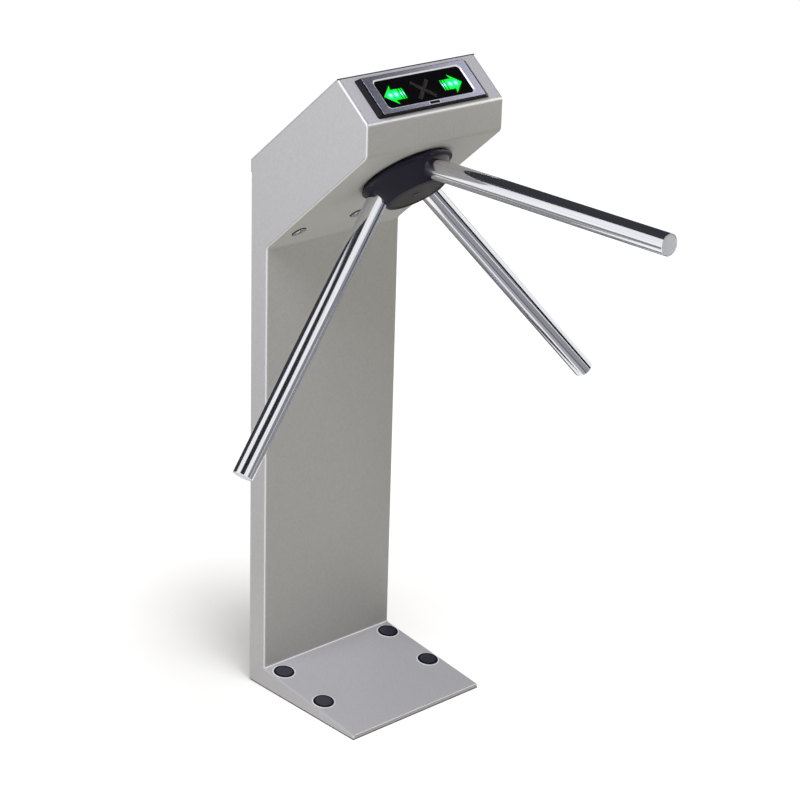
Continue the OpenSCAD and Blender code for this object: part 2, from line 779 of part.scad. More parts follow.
module bearing_carrier() {
    color(cast_grey) on_underside() difference() {
        union() {
            up(carrier_start) cylinder(r = carrier_r, h = carrier_len);
            up(plate_top) cylinder(r = carrier_flange_r, h = carrier_flange_t);
        }
        up(carrier_start - over) cylinder(r = bearing_r - ring_t / 2, h = carrier_len + 2 * over);
        for (w = [front_bearing_w, rear_bearing_w]) up(w) cylinder(r = bearing_r + seat_gap,
            h = bearing_w + (w == rear_bearing_w ? over : 0));
        carrier_screw_places() cylinder(r = carrier_screw_r + thread_gap, h = carrier_len);
    }
}
module carrier_screw_places() {
    for (i = [0 : 5]) rotate([0, 0, i * 60]) translate([carrier_screw_circle_r, 0, plate_w])
        children();
}
module carrier_screws() {
    color(zinc) on_underside() carrier_screw_places() difference() {
        union() {
            cylinder(r = carrier_screw_r, h = plate_t + carrier_flange_t + carrier_screw_head_t);
            up(plate_t + carrier_flange_t)
                cylinder(r = carrier_screw_head_r, h = carrier_screw_head_t);
        }
        up(plate_t + carrier_flange_t + carrier_screw_head_t / 2)
            hexagon(carrier_screw_r * socket_share, carrier_screw_head_t);
    }
}
module on_shaft(w) { on_underside() up(w) children(); }
module lock_wheel() {
    color(steel_plate) on_shaft(wheel_w) difference() {
        union() {
            up(-wheel_boss_t) cylinder(r = shaft_shoulder_r, h = wheel_boss_t);
            cylinder(r = wheel_r, h = wheel_t);
        }
        up(-wheel_boss_t - over) cylinder(r = shaft_r + seat_gap, h = wheel_boss_t + wheel_t + 2 * over);
        for (i = [0 : notch_count - 1]) rotate([0, 0, i * 360 / notch_count])
            translate([wheel_r - notch_depth, -notch_w / 2, -over])
                cube([notch_depth + over, notch_w, wheel_t + 2 * over]);
    }
}
function involute(a) = tan(a) * 180 / PI - a;
function tooth_half(r, pitch_r, teeth) = 90 / teeth + involute(pressure_angle)
    - involute(acos(min(1, pitch_r * cos(pressure_angle) / r))) - tooth_play / pitch_r * 90 / PI;
function gear_outline(teeth) =
    let (pitch_r = teeth * tooth_mod / 2, root_r = pitch_r - 1.25 * tooth_mod,
         low_r = max(root_r, pitch_r * cos(pressure_angle)), tip_r = pitch_r + tooth_mod,
         radii = [for (k = [0 : 3]) low_r + (tip_r - low_r) * k / 3],
         flank = [for (r = radii) [r, tooth_half(r, pitch_r, teeth)]])
    [for (i = [0 : teeth - 1], p = concat([[root_r, -tooth_half(low_r, pitch_r, teeth)]],
        [for (f = flank) [f[0], -f[1]]], [for (k = [3 : -1 : 0]) flank[k]],
        [[root_r, tooth_half(low_r, pitch_r, teeth)]]))
        let (a = i * 360 / teeth + p[1]) p[0] * [cos(a), sin(a)]];
module drive_gear() {
    color(brass) on_shaft(gear_w) difference() {
        union() {
            rotate([0, 0, -90]) linear_extrude(gear_t) polygon(gear_outline(gear_teeth));
            up(-gear_boss_t) cylinder(r = boss_r, h = gear_boss_t);
        }
        up(-gear_boss_t - over) cylinder(r = shaft_r + seat_gap, h = gear_boss_t + gear_t + 2 * over);
    }
}
module damper_pinion() {
    color(brass) on_shaft(gear_w) translate([0, damper_v, 0]) {
        rotate([0, 0, 90 + 180 / pinion_teeth]) linear_extrude(gear_t)
            polygon(gear_outline(pinion_teeth));
        cylinder(r = damper_pin_r, h = damper_plate_w - gear_w + damper_plate_t + damper_t / 2);
    }
}
module encoder_disc() {
    color(black_plastic) on_shaft(disc_w) difference() {
        union() {
            up(-disc_boss_t) cylinder(r = disc_boss_r, h = disc_boss_t);
            cylinder(r = disc_r, h = disc_t);
        }
        up(-disc_boss_t - over) cylinder(r = shaft_r + seat_gap, h = disc_boss_t + disc_t + 2 * over);
        for (i = [0 : disc_slot_count - 1]) rotate([0, 0, (i + 0.5) * 360 / disc_slot_count])
            translate([disc_r - disc_slot_len, -disc_slot_w / 2, -over])
                cube([disc_slot_len + over, disc_slot_w, disc_t + 2 * over]);
    }
}
module shaft_nut() {
    color(zinc) on_shaft(nut_w) difference() {
        hexagon(nut_flat_r, nut_t);
        up(-over) cylinder(r = shaft_r + thread_gap, h = nut_t + 2 * over);
    }
}

// Fixed mechanism
module mechanism_plate() {
    half = plate_half_w;
    corners = [[half, plate_v_top + plate_corner], [half - plate_corner, plate_v_top],
               [plate_corner - half, plate_v_top], [-half, plate_v_top + plate_corner],
               [-half, plate_v_low - plate_corner], [plate_corner - half, plate_v_low],
               [half - plate_corner, plate_v_low], [half, plate_v_low - plate_corner]];
    color(zinc) on_underside() up(plate_w) difference() {
        linear_extrude(plate_t) polygon(corners);
        up(-over) cylinder(r = carrier_r + seat_gap, h = plate_t + 2 * over);
        both_sides() for (s = spacer_spots) translate([s[0], s[1], -over])
            cylinder(r = spacer_bolt_r + thread_gap, h = plate_t + 2 * over);
        up(-plate_w) carrier_screw_places() up(-over)
            cylinder(r = carrier_screw_r + thread_gap, h = plate_t + 2 * over);
        both_sides() translate([pawl_x, pawl_v, -over])
            cylinder(r = pawl_pin_r + seat_gap, h = plate_t + 2 * over);
    }
}
module plate_spacers() {
    color(zinc) on_underside() both_sides() for (s = spacer_spots) translate([s[0], s[1], sheet_t]) {
        cylinder(r = spacer_r, h = plate_w - sheet_t);
        cylinder(r = spacer_bolt_r, h = plate_top - sheet_t + spacer_nut_t + thread_past_nut);
        up(plate_top - sheet_t) hexagon(spacer_nut_r, spacer_nut_t);
    }
}
module pawl_posts() {
    clip_w = pawl_w + pawl_t + moving_gap;
    color(polished) on_underside() both_sides() translate([pawl_x, pawl_v, 0]) {
        up(plate_w) cylinder(r = pawl_pin_r, h = clip_w + clip_t + pin_past_clip - plate_w);
        up(plate_top) cylinder(r = pawl_collar_r, h = pawl_w - moving_gap - plate_top);
        up(clip_w) cylinder(r = clip_r, h = clip_t);
    }
}
// Right pawl in its engaged position, with its pivot at the origin
module pawl_blank() {
    foot_v = pawl_v + pawl_foot;
    nose_x = pawl_x - wheel_r + nose_in;
    difference() {
        union() {
            translate([-pawl_half_w, -foot_v, 0])
                cube([2 * pawl_half_w, foot_v + pawl_tail, pawl_t]);
            cylinder(r = pawl_eye_r, h = pawl_t);
            translate([0, pawl_tail, 0]) cylinder(r = pawl_half_w, h = pawl_t);
            linear_extrude(pawl_t) polygon([[-pawl_half_w, -pawl_v - nose_half_w * nose_root_share],
                [-nose_x, -pawl_v - nose_half_w * nose_tip_share],
                [-nose_x, -pawl_v + nose_half_w * nose_tip_share],
                [-pawl_half_w, -pawl_v + nose_half_w * nose_root_share]]);
        }
        up(-over) cylinder(r = pawl_pin_r + running_gap, h = pawl_t + 2 * over);
        for (d = [-1, 1]) translate([0, pawl_tail + d * tail_slot_len / 2, -over])
            cylinder(r = tail_pin_r + moving_gap, h = pawl_t + 2 * over);
        translate([-tail_pin_r - moving_gap, pawl_tail - tail_slot_len / 2, -over])
            cube([2 * (tail_pin_r + moving_gap), tail_slot_len, pawl_t + 2 * over]);
    }
}
module pawl_right() {
    color(steel_plate) on_underside() translate([pawl_x, pawl_v, pawl_w]) rotate([0, 0, pawl_turn])
        pawl_blank();
}
module pawl_left() { mirror([1, 0, 0]) pawl_right(); }
// Things on the right solenoid's axis, which runs across the head; Z points into the coil
module on_solenoid() {
    on_underside() translate([pawl_x, pawl_v + pawl_tail, solenoid_w]) rotate([0, 90, 0]) children();
}
module solenoid_right() {
    half = solenoid_side / 2;
    on_solenoid() up(solenoid_gap) {
        color(zinc) difference() {
            translate([-half, -half, 0]) cube([solenoid_side, solenoid_side, solenoid_len]);
            translate([-half - over, -half + solenoid_frame_t, solenoid_frame_t])
                cube([solenoid_side + 2 * over, solenoid_side - 2 * solenoid_frame_t,
                      solenoid_len - 2 * solenoid_frame_t]);
            up(-over) cylinder(r = plunger_r + running_gap, h = solenoid_frame_t + 2 * over);
        }
        color(coil_black) up(solenoid_frame_t) difference() {
            cylinder(r = coil_r, h = solenoid_len - 2 * solenoid_frame_t);
            up(-over) cylinder(r = plunger_r + running_gap, h = plunger_bore + over);
        }
    }
}
module solenoid_left() { mirror([1, 0, 0]) solenoid_right(); }
module plunger_right() {
    on_solenoid() up(-plunger_travel) color(polished) difference() {
        union() {
            cylinder(r = plunger_r, h = solenoid_gap + plunger_travel + plunger_in);
            up(plunger_fork / 2 + collar_stand_off)
                cylinder(r = plunger_collar_r, h = plunger_collar_t);
            translate([-plunger_fork_h / 2, -plunger_r, -plunger_fork / 2])
                cube([plunger_fork_h, 2 * plunger_r, plunger_fork]);
        }
        translate([-pawl_t / 2 - moving_gap, -plunger_r - over, -plunger_fork / 2 - over])
            cube([pawl_t + 2 * moving_gap, 2 * (plunger_r + over),
                  plunger_fork / 2 + over + pawl_half_w + fork_slot_gap]);
    }
    on_solenoid() up(-plunger_travel) color(polished) rotate([0, 90, 0])
        cylinder(r = tail_pin_r, h = plunger_fork_h, center = true);
}
module plunger_left() { mirror([1, 0, 0]) plunger_right(); }
// One unbroken tube wound round the plunger between its collar and the coil's frame
module coil_spring(len, turns, r, wire) {
    rings_a_turn = 16;
    rings = turns * rings_a_turn;
    sides = 6;
    rise = (len - 2 * wire) / rings;
    pts = [for (i = [0 : rings], k = [0 : sides - 1])
        let (a = i * 360 / rings_a_turn, b = k * 360 / sides)
        [(r + wire * cos(b)) * cos(a), (r + wire * cos(b)) * sin(a), wire + i * rise + wire * sin(b)]];
    walls = [for (i = [0 : rings - 1], k = [0 : sides - 1])
        let (p = i * sides + k, q = i * sides + (k + 1) % sides)
        each [[p, p + sides, q], [q, p + sides, q + sides]]];
    ends = concat([for (k = [1 : sides - 2]) [0, k, k + 1]],
        [for (k = [1 : sides - 2]) [rings * sides, rings * sides + k + 1, rings * sides + k]]);
    polyhedron(pts, concat(walls, ends));
}
spring_start = plunger_fork / 2 + collar_stand_off + plunger_collar_t;
spring_space = solenoid_gap + plunger_travel - spring_start;
spring_pitch_gap = (spring_space - 2 * moving_gap - 2 * spring_wire_r) / spring_turns
    - 2 * spring_wire_r;
echo(spring_gap_to_itself = spring_pitch_gap);
module spring_right() {
    color(polished) on_solenoid() up(spring_start - plunger_travel + moving_gap)
        coil_spring(spring_space - 2 * moving_gap, spring_turns, spring_r, spring_wire_r);
}
module spring_left() { mirror([1, 0, 0]) spring_right(); }
module solenoid_brackets() {
    half = solenoid_side / 2;
    shelf_w = solenoid_w - half;
    color(zinc) on_underside() both_sides() translate([solenoid_x, pawl_v + pawl_tail - half, 0]) {
        up(shelf_w - bracket_t) cube([solenoid_len, solenoid_side, bracket_t]);
        for (x = [0, solenoid_len - bracket_t]) translate([x, 0, plate_top])
            cube([bracket_t, solenoid_side, shelf_w - plate_top]);
        translate([0, 0, plate_top]) cube([bracket_foot, solenoid_side, bracket_t]);
    }
}
module damper_bracket() {
    color(zinc) on_underside() {
        translate([0, damper_v, damper_plate_w]) difference() {
            translate([-damper_plate_half, -damper_r - damper_plate_shift, 0])
                cube([2 * damper_plate_half, 2 * damper_r, damper_plate_t]);
            up(-over) cylinder(r = pinion_boss_r, h = damper_plate_t + 2 * over);
        }
        both_sides() translate([damper_post_x, plate_v_top + spacer_r, plate_top])
            cylinder(r = damper_post_r, h = damper_plate_w - plate_top);
    }
}
module damper_body() {
    color(black_plastic) on_shaft(damper_plate_w + damper_plate_t) translate([0, damper_v, 0])
        difference() {
            union() {
                cylinder(r = damper_r, h = damper_t);
                up(damper_t) cylinder(r = damper_cap_r, h = damper_cap_t);
            }
            up(-over) cylinder(r = damper_pin_r + running_gap, h = 2 * over + damper_t / 2);
        }
}
module sensor_board() {
    fork_h = disc_w + disc_t + fork_past_disc - sensor_board_w - sensor_board_t;
    slot_low = disc_w - fork_slot_gap_w;
    on_underside() {
        color(board_green) translate([-sensor_half_w, sensor_near, sensor_board_w])
            cube([2 * sensor_half_w, sensor_far - sensor_near, sensor_board_t]);
        color(black_plastic) difference() {
            translate([-fork_half_w, sensor_near, sensor_board_w + sensor_board_t])
                cube([2 * fork_half_w, fork_reach + disc_r - sensor_near, fork_h]);
            translate([-fork_half_w - over, sensor_near - over, slot_low])
                cube([2 * (fork_half_w + over), disc_r - sensor_near + over + fork_slot_gap_v,
                      disc_t + 2 * fork_slot_gap_w]);
        }
        color(zinc) both_sides() translate([sensor_post_x, sensor_post_v, plate_top + carrier_flange_t])
            cylinder(r = sensor_post_r, h = sensor_board_w - plate_top - carrier_flange_t);
    }
}

// Control board and its parts
board_spots = [[board_half_w - standoff_in, board_v_near + standoff_in],
               [board_half_w - standoff_in, board_v_far - standoff_in]];
module control_board() {
    color(board_green) on_underside() difference() {
        translate([-board_half_w, board_v_near, board_w])
            cube([2 * board_half_w, board_v_far - board_v_near, board_t]);
        both_sides() for (s = board_spots) translate([s[0], s[1], board_w - over])
            cylinder(r = standoff_r / 2, h = board_t + 2 * over);
    }
}
module board_standoffs() {
    color(brass) on_underside() both_sides() for (s = board_spots) translate([s[0], s[1], sheet_t]) {
        cylinder(r = standoff_r, h = board_w - sheet_t);
        cylinder(r = standoff_r / 2 - thread_gap,
            h = board_w - sheet_t + board_t + thread_past_nut);
    }
}
// Relays, driver block, capacitors and a processor
parts_margin = 8;
relay_size = [15, 19, 14];
relay_pitch = 18;
relay_x = -62;
driver_x = 28;
can_x = [28, 44];
chip_size = [16, 16, 2];
driver_size = [40, 26, 16];
can_r = 6;
can_h = 18;
module board_parts() {
    on_underside() up(board_w + board_t) {
        color(coil_black) for (i = [0 : 3])
            translate([relay_x + i * relay_pitch, board_v_near + parts_margin, 0]) cube(relay_size);
        color(black_plastic) translate([driver_x, board_v_near + parts_margin, 0]) cube(driver_size);
        color(black_plastic) translate([-chip_size[0] / 2, (board_v_near + board_v_far) / 2, 0])
            cube(chip_size);
        color(cast_grey) for (x = can_x)
            translate([x, (board_v_near + board_v_far) / 2 + parts_margin, 0])
                cylinder(r = can_r, h = can_h);
    }
}
terminal_pitch = 24;
terminal_size = [22, 10, 12];
terminal_margin = 2;
terminal_screw_pitch = 5;
terminal_screw_r = 1.6;
terminal_screw_depth = 2;
module terminal_blocks() {
    color(board_green) on_underside() for (i = [0 : 4]) difference() {
        translate([(i - 2) * terminal_pitch - terminal_size[0] / 2,
            board_v_far - terminal_size[1] - terminal_margin, board_w + board_t]) cube(terminal_size);
        for (k = [-1.5 : 1.5]) translate([(i - 2) * terminal_pitch + k * terminal_screw_pitch,
            board_v_far - terminal_size[1] / 2 - terminal_margin,
            board_w + board_t + terminal_size[2] - terminal_screw_depth])
                cylinder(r = terminal_screw_r, h = terminal_screw_depth + over);
    }
}

// Locks on the underside
module at_locks() {
    on_underside() {
        translate([-cover_lock_x, cover_lock_v, 0]) children();
        translate([0, release_lock_v, 0]) children();
    }
}
module lock_bodies() {
    color(polished) at_locks() difference() {
        union() {
            up(-lock_head_t) cylinder(r = lock_head_r, h = lock_head_t);
            cylinder(r = lock_body_r, h = lock_len);
        }
        up(-lock_head_t - over) cylinder(r = barrel_r + running_gap, h = lock_len + lock_head_t + 2 * over);
    }
}
module lock_nuts() {
    color(zinc) at_locks() up(sheet_t) difference() {
        hexagon(lock_nut_r, lock_nut_t);
        up(-over) cylinder(r = lock_body_r + thread_gap, h = lock_nut_t + 2 * over);
    }
}
module lock_barrel() {
    low = -lock_head_t - barrel_proud;
    difference() {
        up(low) cylinder(r = barrel_r, h = lock_len - low + moving_gap);
        translate([-key_slot_w / 2, -key_slot_h / 2, low - over])
            cube([key_slot_w, key_slot_h, key_slot_depth + over]);
    }
}
// The barrel carries a cam that swings over the foot of the cover's strap to lock it
module cover_lock_barrel() {
    color(polished) on_underside() translate([-cover_lock_x, cover_lock_v, 0]) {
        lock_barrel();
        up(lock_len + moving_gap) {
            cylinder(r = cam_hub_r, h = cam_t);
            translate([0, -cam_half_w, 0]) cube([cam_len, 2 * cam_half_w, cam_t]);
        }
    }
}
module release_lock_barrel() {
    color(polished) on_underside() translate([0, release_lock_v, 0]) {
        lock_barrel();
        up(lock_len) cylinder(r = switch_pin_r, h = switch_len / 2);
    }
}
module release_switch() {
    color(black_plastic) on_underside() translate([0, release_lock_v, lock_len + 2 * moving_gap])
        difference() {
            translate([-switch_half, -switch_half, 0]) cube([2 * switch_half, 2 * switch_half, switch_len]);
            up(-over) cylinder(r = switch_pin_r + running_gap, h = 2 * over + switch_len / 2);
        }
}

// Rear cover with the strap that the cover lock holds
module at_cover_pegs() {
    for (x = [-1, 1], s = cover_peg_share) translate([x * (inner_half_w - rail_w / 2), 0, 0])
        on_cover() translate([0, slope_len * s, 0]) children();
}
module rear_cover() {
    lip_in = -moving_gap;
    lip_out = -moving_gap - cover_t;
    slope_tan = tan(slope_angle);
    lip_low = back_top[1] - cover_lip_h;
    inner_drop = cover_t / cos(slope_angle);
    leg_top = strap_top_w();
    color(paint_cover) {
        side_view(housing_w) polygon([ridge, along_to(ridge, face_run, slope_in, cover_t),
            [lip_in, back_top[1] + lip_in * slope_tan - inner_drop], [lip_in, lip_low],
            [lip_out, lip_low], [lip_out, back_top[1] + lip_out * slope_tan]]);
        at_cover_pegs() up(-cover_t - cover_peg_len)
            cylinder(r = cover_peg_r, h = cover_peg_len + cover_t / 2);
    }
    color(zinc) on_underside() translate([-cover_lock_x - strap_w / 2, strap_leg_v, 0]) {
        translate([0, 0, strap_foot_w]) cube([strap_w, strap_foot, strap_t]);
        up(strap_foot_w) cube([strap_w, strap_t, leg_top - strap_foot_w]);
    }
}
strap_foot_w = lock_len - strap_t - moving_gap;
// Height into the head at which the strap's leg meets the middle of the cover's sheet
function strap_top_w() =
    let (leg = hub_point + unit(throat - front_low) * strap_leg_v,
         into = unit([-(front_low - throat)[1], (front_low - throat)[0]]),
         gap = (back_top - leg) * slope_in, run = into * slope_in)
    gap / run - cover_t / 2;

housing_shell();
post_back_panel();
base_plate();
anchor_caps();
cable_grommet();
display_base();
display_bezel();
display_window();
indicator_mask();
arrow_left();
arrow_right();
cross_mark();
bezel_tag();
indicator_board();
mechanism_plate();
plate_spacers();
bearing_carrier();
carrier_screws();
bearing_outer_rings();
bearing_balls();
pawl_posts();
solenoid_left();
solenoid_right();
solenoid_brackets();
damper_bracket();
damper_body();
sensor_board();
control_board();
board_parts();
terminal_blocks();
board_standoffs();
lock_bodies();
lock_nuts();
release_switch();
hub_body();
hub_cap();
hub_cap_screw();
hub_bolts();
arm_front();
arm_right();
arm_left();
arm_plugs();
arm_screws();
main_shaft();
bearing_inner_rings();
lock_wheel();
drive_gear();
encoder_disc();
shaft_nut();
damper_pinion();
pawl_left();
pawl_right();
plunger_left();
plunger_right();
spring_left();
spring_right();
rear_cover();
cover_lock_barrel();
release_lock_barrel();
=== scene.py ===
import math

import bpy
from mathutils import Matrix, Vector


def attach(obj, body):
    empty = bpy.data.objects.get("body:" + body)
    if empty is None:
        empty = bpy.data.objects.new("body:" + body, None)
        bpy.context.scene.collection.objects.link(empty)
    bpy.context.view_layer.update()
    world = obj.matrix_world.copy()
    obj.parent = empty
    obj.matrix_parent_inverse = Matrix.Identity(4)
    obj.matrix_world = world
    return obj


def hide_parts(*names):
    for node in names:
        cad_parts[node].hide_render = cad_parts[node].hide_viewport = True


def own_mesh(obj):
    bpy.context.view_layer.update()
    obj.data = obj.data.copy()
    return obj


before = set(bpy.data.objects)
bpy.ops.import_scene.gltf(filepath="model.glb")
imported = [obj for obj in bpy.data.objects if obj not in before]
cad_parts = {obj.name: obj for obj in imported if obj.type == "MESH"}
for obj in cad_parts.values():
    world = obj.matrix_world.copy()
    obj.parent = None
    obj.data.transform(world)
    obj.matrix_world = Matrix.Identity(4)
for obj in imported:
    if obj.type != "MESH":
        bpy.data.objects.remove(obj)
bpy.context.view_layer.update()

mm = 0.001
mergeGap = 2e-6  # points closer than this, in metres, are one

# The photograph's camera: stands left of the housing, a little above its head
photoCamera = {
    "place": (-2.2870, -2.5554, 1.8573),
    "azimuth": -42.805,
    "elevation": 21.486,
    "roll": 1.667,
    "lens": 105.24,
    "clipEnd": 60,
}

# Side view points are [forward of the post's back, up] in mm, as in the part's source
side = {
    "backY": 112,
    "seatBack": (0, 886.3),
    "seatRidge": (194.67, 1048.66),
    "ridge": (193, 1050),
    "frontTop": (260, 996),
    "frontLow": (260, 946),
    "throat": (37, 755),
    "footBack": (37, 35),
    "footTip": (260, 8),
}


def sidePlace(point, x=0.0):
    return Vector((x, side["backY"] - point[0], point[1])) * mm


# A local frame on a slanted face, turned about the X axis
def slanted(point, degrees, along=0.0):
    turn = Matrix.Rotation(math.radians(degrees), 4, "X")
    return Matrix.Translation(sidePlace(point)) @ turn @ Matrix.Translation((0, along * mm, 0))


# A place some mm along a face's own axes
def stepped(place, x, y):
    return place @ Matrix.Translation((x * mm, y * mm, 0))


faceTilt = math.degrees(math.atan2(54, 67))
undersideTilt = -math.degrees(math.atan2(191, 223))
slopeTilt = -math.degrees(math.atan2(161, 193))
footTilt = math.degrees(math.atan2(27, 223))
faceFrame = slanted(side["ridge"], faceTilt, -44.5)
undersideFrame = slanted(side["frontLow"], undersideTilt, 84.5)
slopeFrame = slanted(side["ridge"], slopeTilt)
footFrame = slanted(side["footBack"], footTilt)

# The arms' axes meet in one point on the rotor's axis
armApex = Vector((0, -68.210, 909.260)) * mm
armWays = {
    "arm_front": Vector((0, -1, 0)),
    "arm_right": Vector((0.6577, -0.1347, -0.7411)).normalized(),
    "arm_left": Vector((-0.6577, -0.1347, -0.7411)).normalized(),
}


def armFrame(node):
    turn = armWays[node].to_track_quat("Z", "Y").to_matrix().to_4x4()
    return Matrix.Translation(armApex) @ turn


def makeCamera():
    az, el = math.radians(photoCamera["azimuth"]), math.radians(photoCamera["elevation"])
    roll = math.radians(photoCamera["roll"])
    back = Vector((math.sin(az) * math.cos(el), -math.cos(az) * math.cos(el), math.sin(el)))
    right = Vector((math.cos(az), math.sin(az), 0))
    up = back.cross(right)
    across = math.cos(roll) * right + math.sin(roll) * up
    upward = math.cos(roll) * up - math.sin(roll) * right
    bpy.ops.object.camera_add()
    camera = bpy.context.object
    camera.name = "photoCamera"
    camera.data.lens = photoCamera["lens"]
    camera.data.clip_end = photoCamera["clipEnd"]
    camera.matrix_world = Matrix.Translation(photoCamera["place"]) @ Matrix(
        (across, upward, back)).transposed().to_4x4()
    bpy.context.scene.camera = camera


bpy.ops.object.select_all(action="DESELECT")
makeCamera()
print("camera placed")

# Small modelling steps


def clearPick():
    if bpy.context.object and bpy.context.object.mode != "OBJECT":
        bpy.ops.object.mode_set(mode="OBJECT")
    bpy.ops.object.select_all(action="DESELECT")


def onlyPick(piece):
    clearPick()
    piece.select_set(True)
    bpy.context.view_layer.objects.active = piece


# Puts the finished blank where it belongs and leaves its object at the origin
def settle(piece, name, place=Matrix()):
    onlyPick(piece)
    piece.matrix_world = place @ piece.matrix_world
    bpy.ops.object.transform_apply(location=True, rotation=True, scale=True)
    piece.name = piece.data.name = name
    return piece


def pickEdges(piece, wanted):
    onlyPick(piece)
    bpy.ops.object.mode_set(mode="EDIT")
    bpy.ops.mesh.select_mode(type="EDGE")
    bpy.ops.mesh.select_all(action="DESELECT")
    bpy.ops.object.mode_set(mode="OBJECT")
    spots = piece.data.vertices
    for edge in piece.data.edges:
        edge.select = bool(wanted(spots[edge.vertices[0]].co, spots[edge.vertices[1]].co))
    bpy.ops.object.mode_set(mode="EDIT")


def pickFaces(piece, wanted):
    onlyPick(piece)
    bpy.ops.object.mode_set(mode="EDIT")
    bpy.ops.mesh.select_mode(type="FACE")
    bpy.ops.mesh.select_all(action="DESELECT")
    bpy.ops.object.mode_set(mode="OBJECT")
    for face in piece.data.polygons:
        face.select = bool(wanted(face.center, face.normal))
    bpy.ops.object.mode_set(mode="EDIT")


def outwards():
    bpy.ops.mesh.select_all(action="SELECT")
    bpy.ops.mesh.remove_doubles(threshold=mergeGap)
    bpy.ops.mesh.normals_make_consistent(inside=False)
    bpy.ops.object.mode_set(mode="OBJECT")


# A chain of corners drawn by extruding one point from corner to corner
def drawChain(points):
    clearPick()
    bpy.ops.mesh.primitive_plane_add(size=mm, location=points[0])
    bpy.ops.object.mode_set(mode="EDIT")
    bpy.ops.mesh.select_mode(type="VERT")
    bpy.ops.mesh.merge(type="CENTER")
    for start, end in zip(points, points[1:]):
        bpy.ops.mesh.extrude_vertices_move(TRANSFORM_OT_translate={"value": end - start})
    return bpy.context.object


# A closed outline drawn flat and pulled out by the given step
def pullOutline(points, step):
    piece = drawChain(points)
    bpy.ops.mesh.select_all(action="SELECT")
    bpy.ops.mesh.edge_face_add()
    bpy.ops.mesh.extrude_region_move(TRANSFORM_OT_translate={"value": step})
    outwards()
    return piece


# An outline of [radius, height] spun about the local Z axis
def turnOutline(outline, steps=96):
    piece = drawChain([Vector((r, 0, h)) * mm for r, h in outline])
    bpy.ops.mesh.select_all(action="SELECT")
    bpy.ops.mesh.spin(steps=steps, angle=2 * math.pi, center=(0, 0, 0), axis=(0, 0, 1))
    outwards()
    return piece


# A flat plate with round corners between two heights
def roundPlate(width, height, corner, low, high, segments=8):
    clearPick()
    bpy.ops.mesh.primitive_plane_add(size=1, location=(0, 0, low * mm))
    bpy.ops.object.mode_set(mode="EDIT")
    bpy.ops.mesh.select_mode(type="VERT")
    bpy.ops.transform.resize(value=(width * mm, height * mm, 1))
    bpy.ops.mesh.bevel(offset=corner * mm, offset_type="OFFSET", segments=segments,
                       affect="VERTICES")
    bpy.ops.mesh.select_all(action="SELECT")
    bpy.ops.mesh.extrude_region_move(
        TRANSFORM_OT_translate={"value": (0, 0, (high - low) * mm)})
    outwards()
    return bpy.context.object


# A round plate whose part above the bend narrows by the given steps, or widens below zero
def taperedPlate(width, height, corner, low, bend, high, inX, inY, segments=10):
    piece = roundPlate(width, height, corner, low, bend, segments)
    pickFaces(piece, lambda c, n: n.z > 0.99)
    bpy.ops.mesh.extrude_region_move(
        TRANSFORM_OT_translate={"value": (0, 0, (high - bend) * mm)})
    bpy.ops.transform.resize(value=(1 - 2 * inX / width, 1 - 2 * inY / height, 1),
                             center_override=(0, 0, high * mm))
    bpy.ops.object.mode_set(mode="OBJECT")
    return piece


def applyAll(piece):
    onlyPick(piece)
    for step in list(piece.modifiers):
        bpy.ops.object.modifier_apply(modifier=step.name)


def combine(piece, other, way="DIFFERENCE"):
    onlyPick(piece)
    step = piece.modifiers.new("combine", "BOOLEAN")
    step.operation, step.object, step.solver = way, other, "EXACT"
    bpy.ops.object.modifier_apply(modifier=step.name)
    bpy.data.objects.remove(other, do_unlink=True)
    return piece


def joined(*pieces):
    clearPick()
    for piece in pieces:
        piece.select_set(True)
    bpy.context.view_layer.objects.active = pieces[0]
    bpy.ops.object.join()
    return pieces[0]


# A copy of an object with a mesh of its own
def copyOf(source):
    piece = source.copy()
    piece.data = source.data.copy()
    bpy.context.collection.objects.link(piece)
    return piece


# Breaks sharp edges so that they catch the light
def breakEdges(piece, size, segments=3, angle=30):
    step = piece.modifiers.new("edges", "BEVEL")
    step.width, step.segments, step.limit_method = size * mm, segments, "ANGLE"
    step.angle_limit = math.radians(angle)
    step.miter_outer = "MITER_ARC"
    applyAll(piece)


def smooth(piece, degrees=32, weigh=True):
    onlyPick(piece)
    bpy.ops.object.shade_smooth_by_angle(angle=math.radians(degrees))
    if weigh:
        step = piece.modifiers.new("even", "WEIGHTED_NORMAL")
        step.keep_sharp = True
        applyAll(piece)


# A merged copy of a CAD node with its edges softly broken
def softCopy(node, name, size=0.4, segments=2):
    clearPick()
    piece = copyOf(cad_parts[node])
    piece.parent = None
    piece.matrix_world = Matrix()
    piece.name = piece.data.name = name
    piece.data.materials.clear()
    onlyPick(piece)
    bpy.ops.object.mode_set(mode="EDIT")
    bpy.ops.mesh.select_all(action="SELECT")
    bpy.ops.mesh.remove_doubles(threshold=mergeGap)
    bpy.ops.mesh.dissolve_limited(angle_limit=math.radians(0.5))
    bpy.ops.object.mode_set(mode="OBJECT")
    breakEdges(piece, size, segments)
    smooth(piece)
    return piece


# One blank copied to each place and joined into one smooth piece
def spread(blank, name, places):
    made = [settle(copyOf(blank), name, place) for place in places]
    bpy.data.objects.remove(blank, do_unlink=True)
    piece = joined(*made)
    piece.name = piece.data.name = name
    smooth(piece, 30)
    return piece


# Bevels the picked edges and leaves edit mode
def bevelPicked(size, segments):
    bpy.ops.mesh.bevel(offset=size * mm, offset_type="OFFSET", segments=segments,
                       affect="EDGES", clamp_overlap=False)
    bpy.ops.object.mode_set(mode="OBJECT")


# Materials. Object coordinates are metres, so each pattern's size is given in mm


def toLinear(hexText):
    parts = [int(hexText[i:i + 2], 16) / 255 for i in (0, 2, 4)]
    bent = [c / 12.92 if c <= 0.04045 else ((c + 0.055) / 1.055) ** 2.4 for c in parts]
    return (*bent, 1.0)


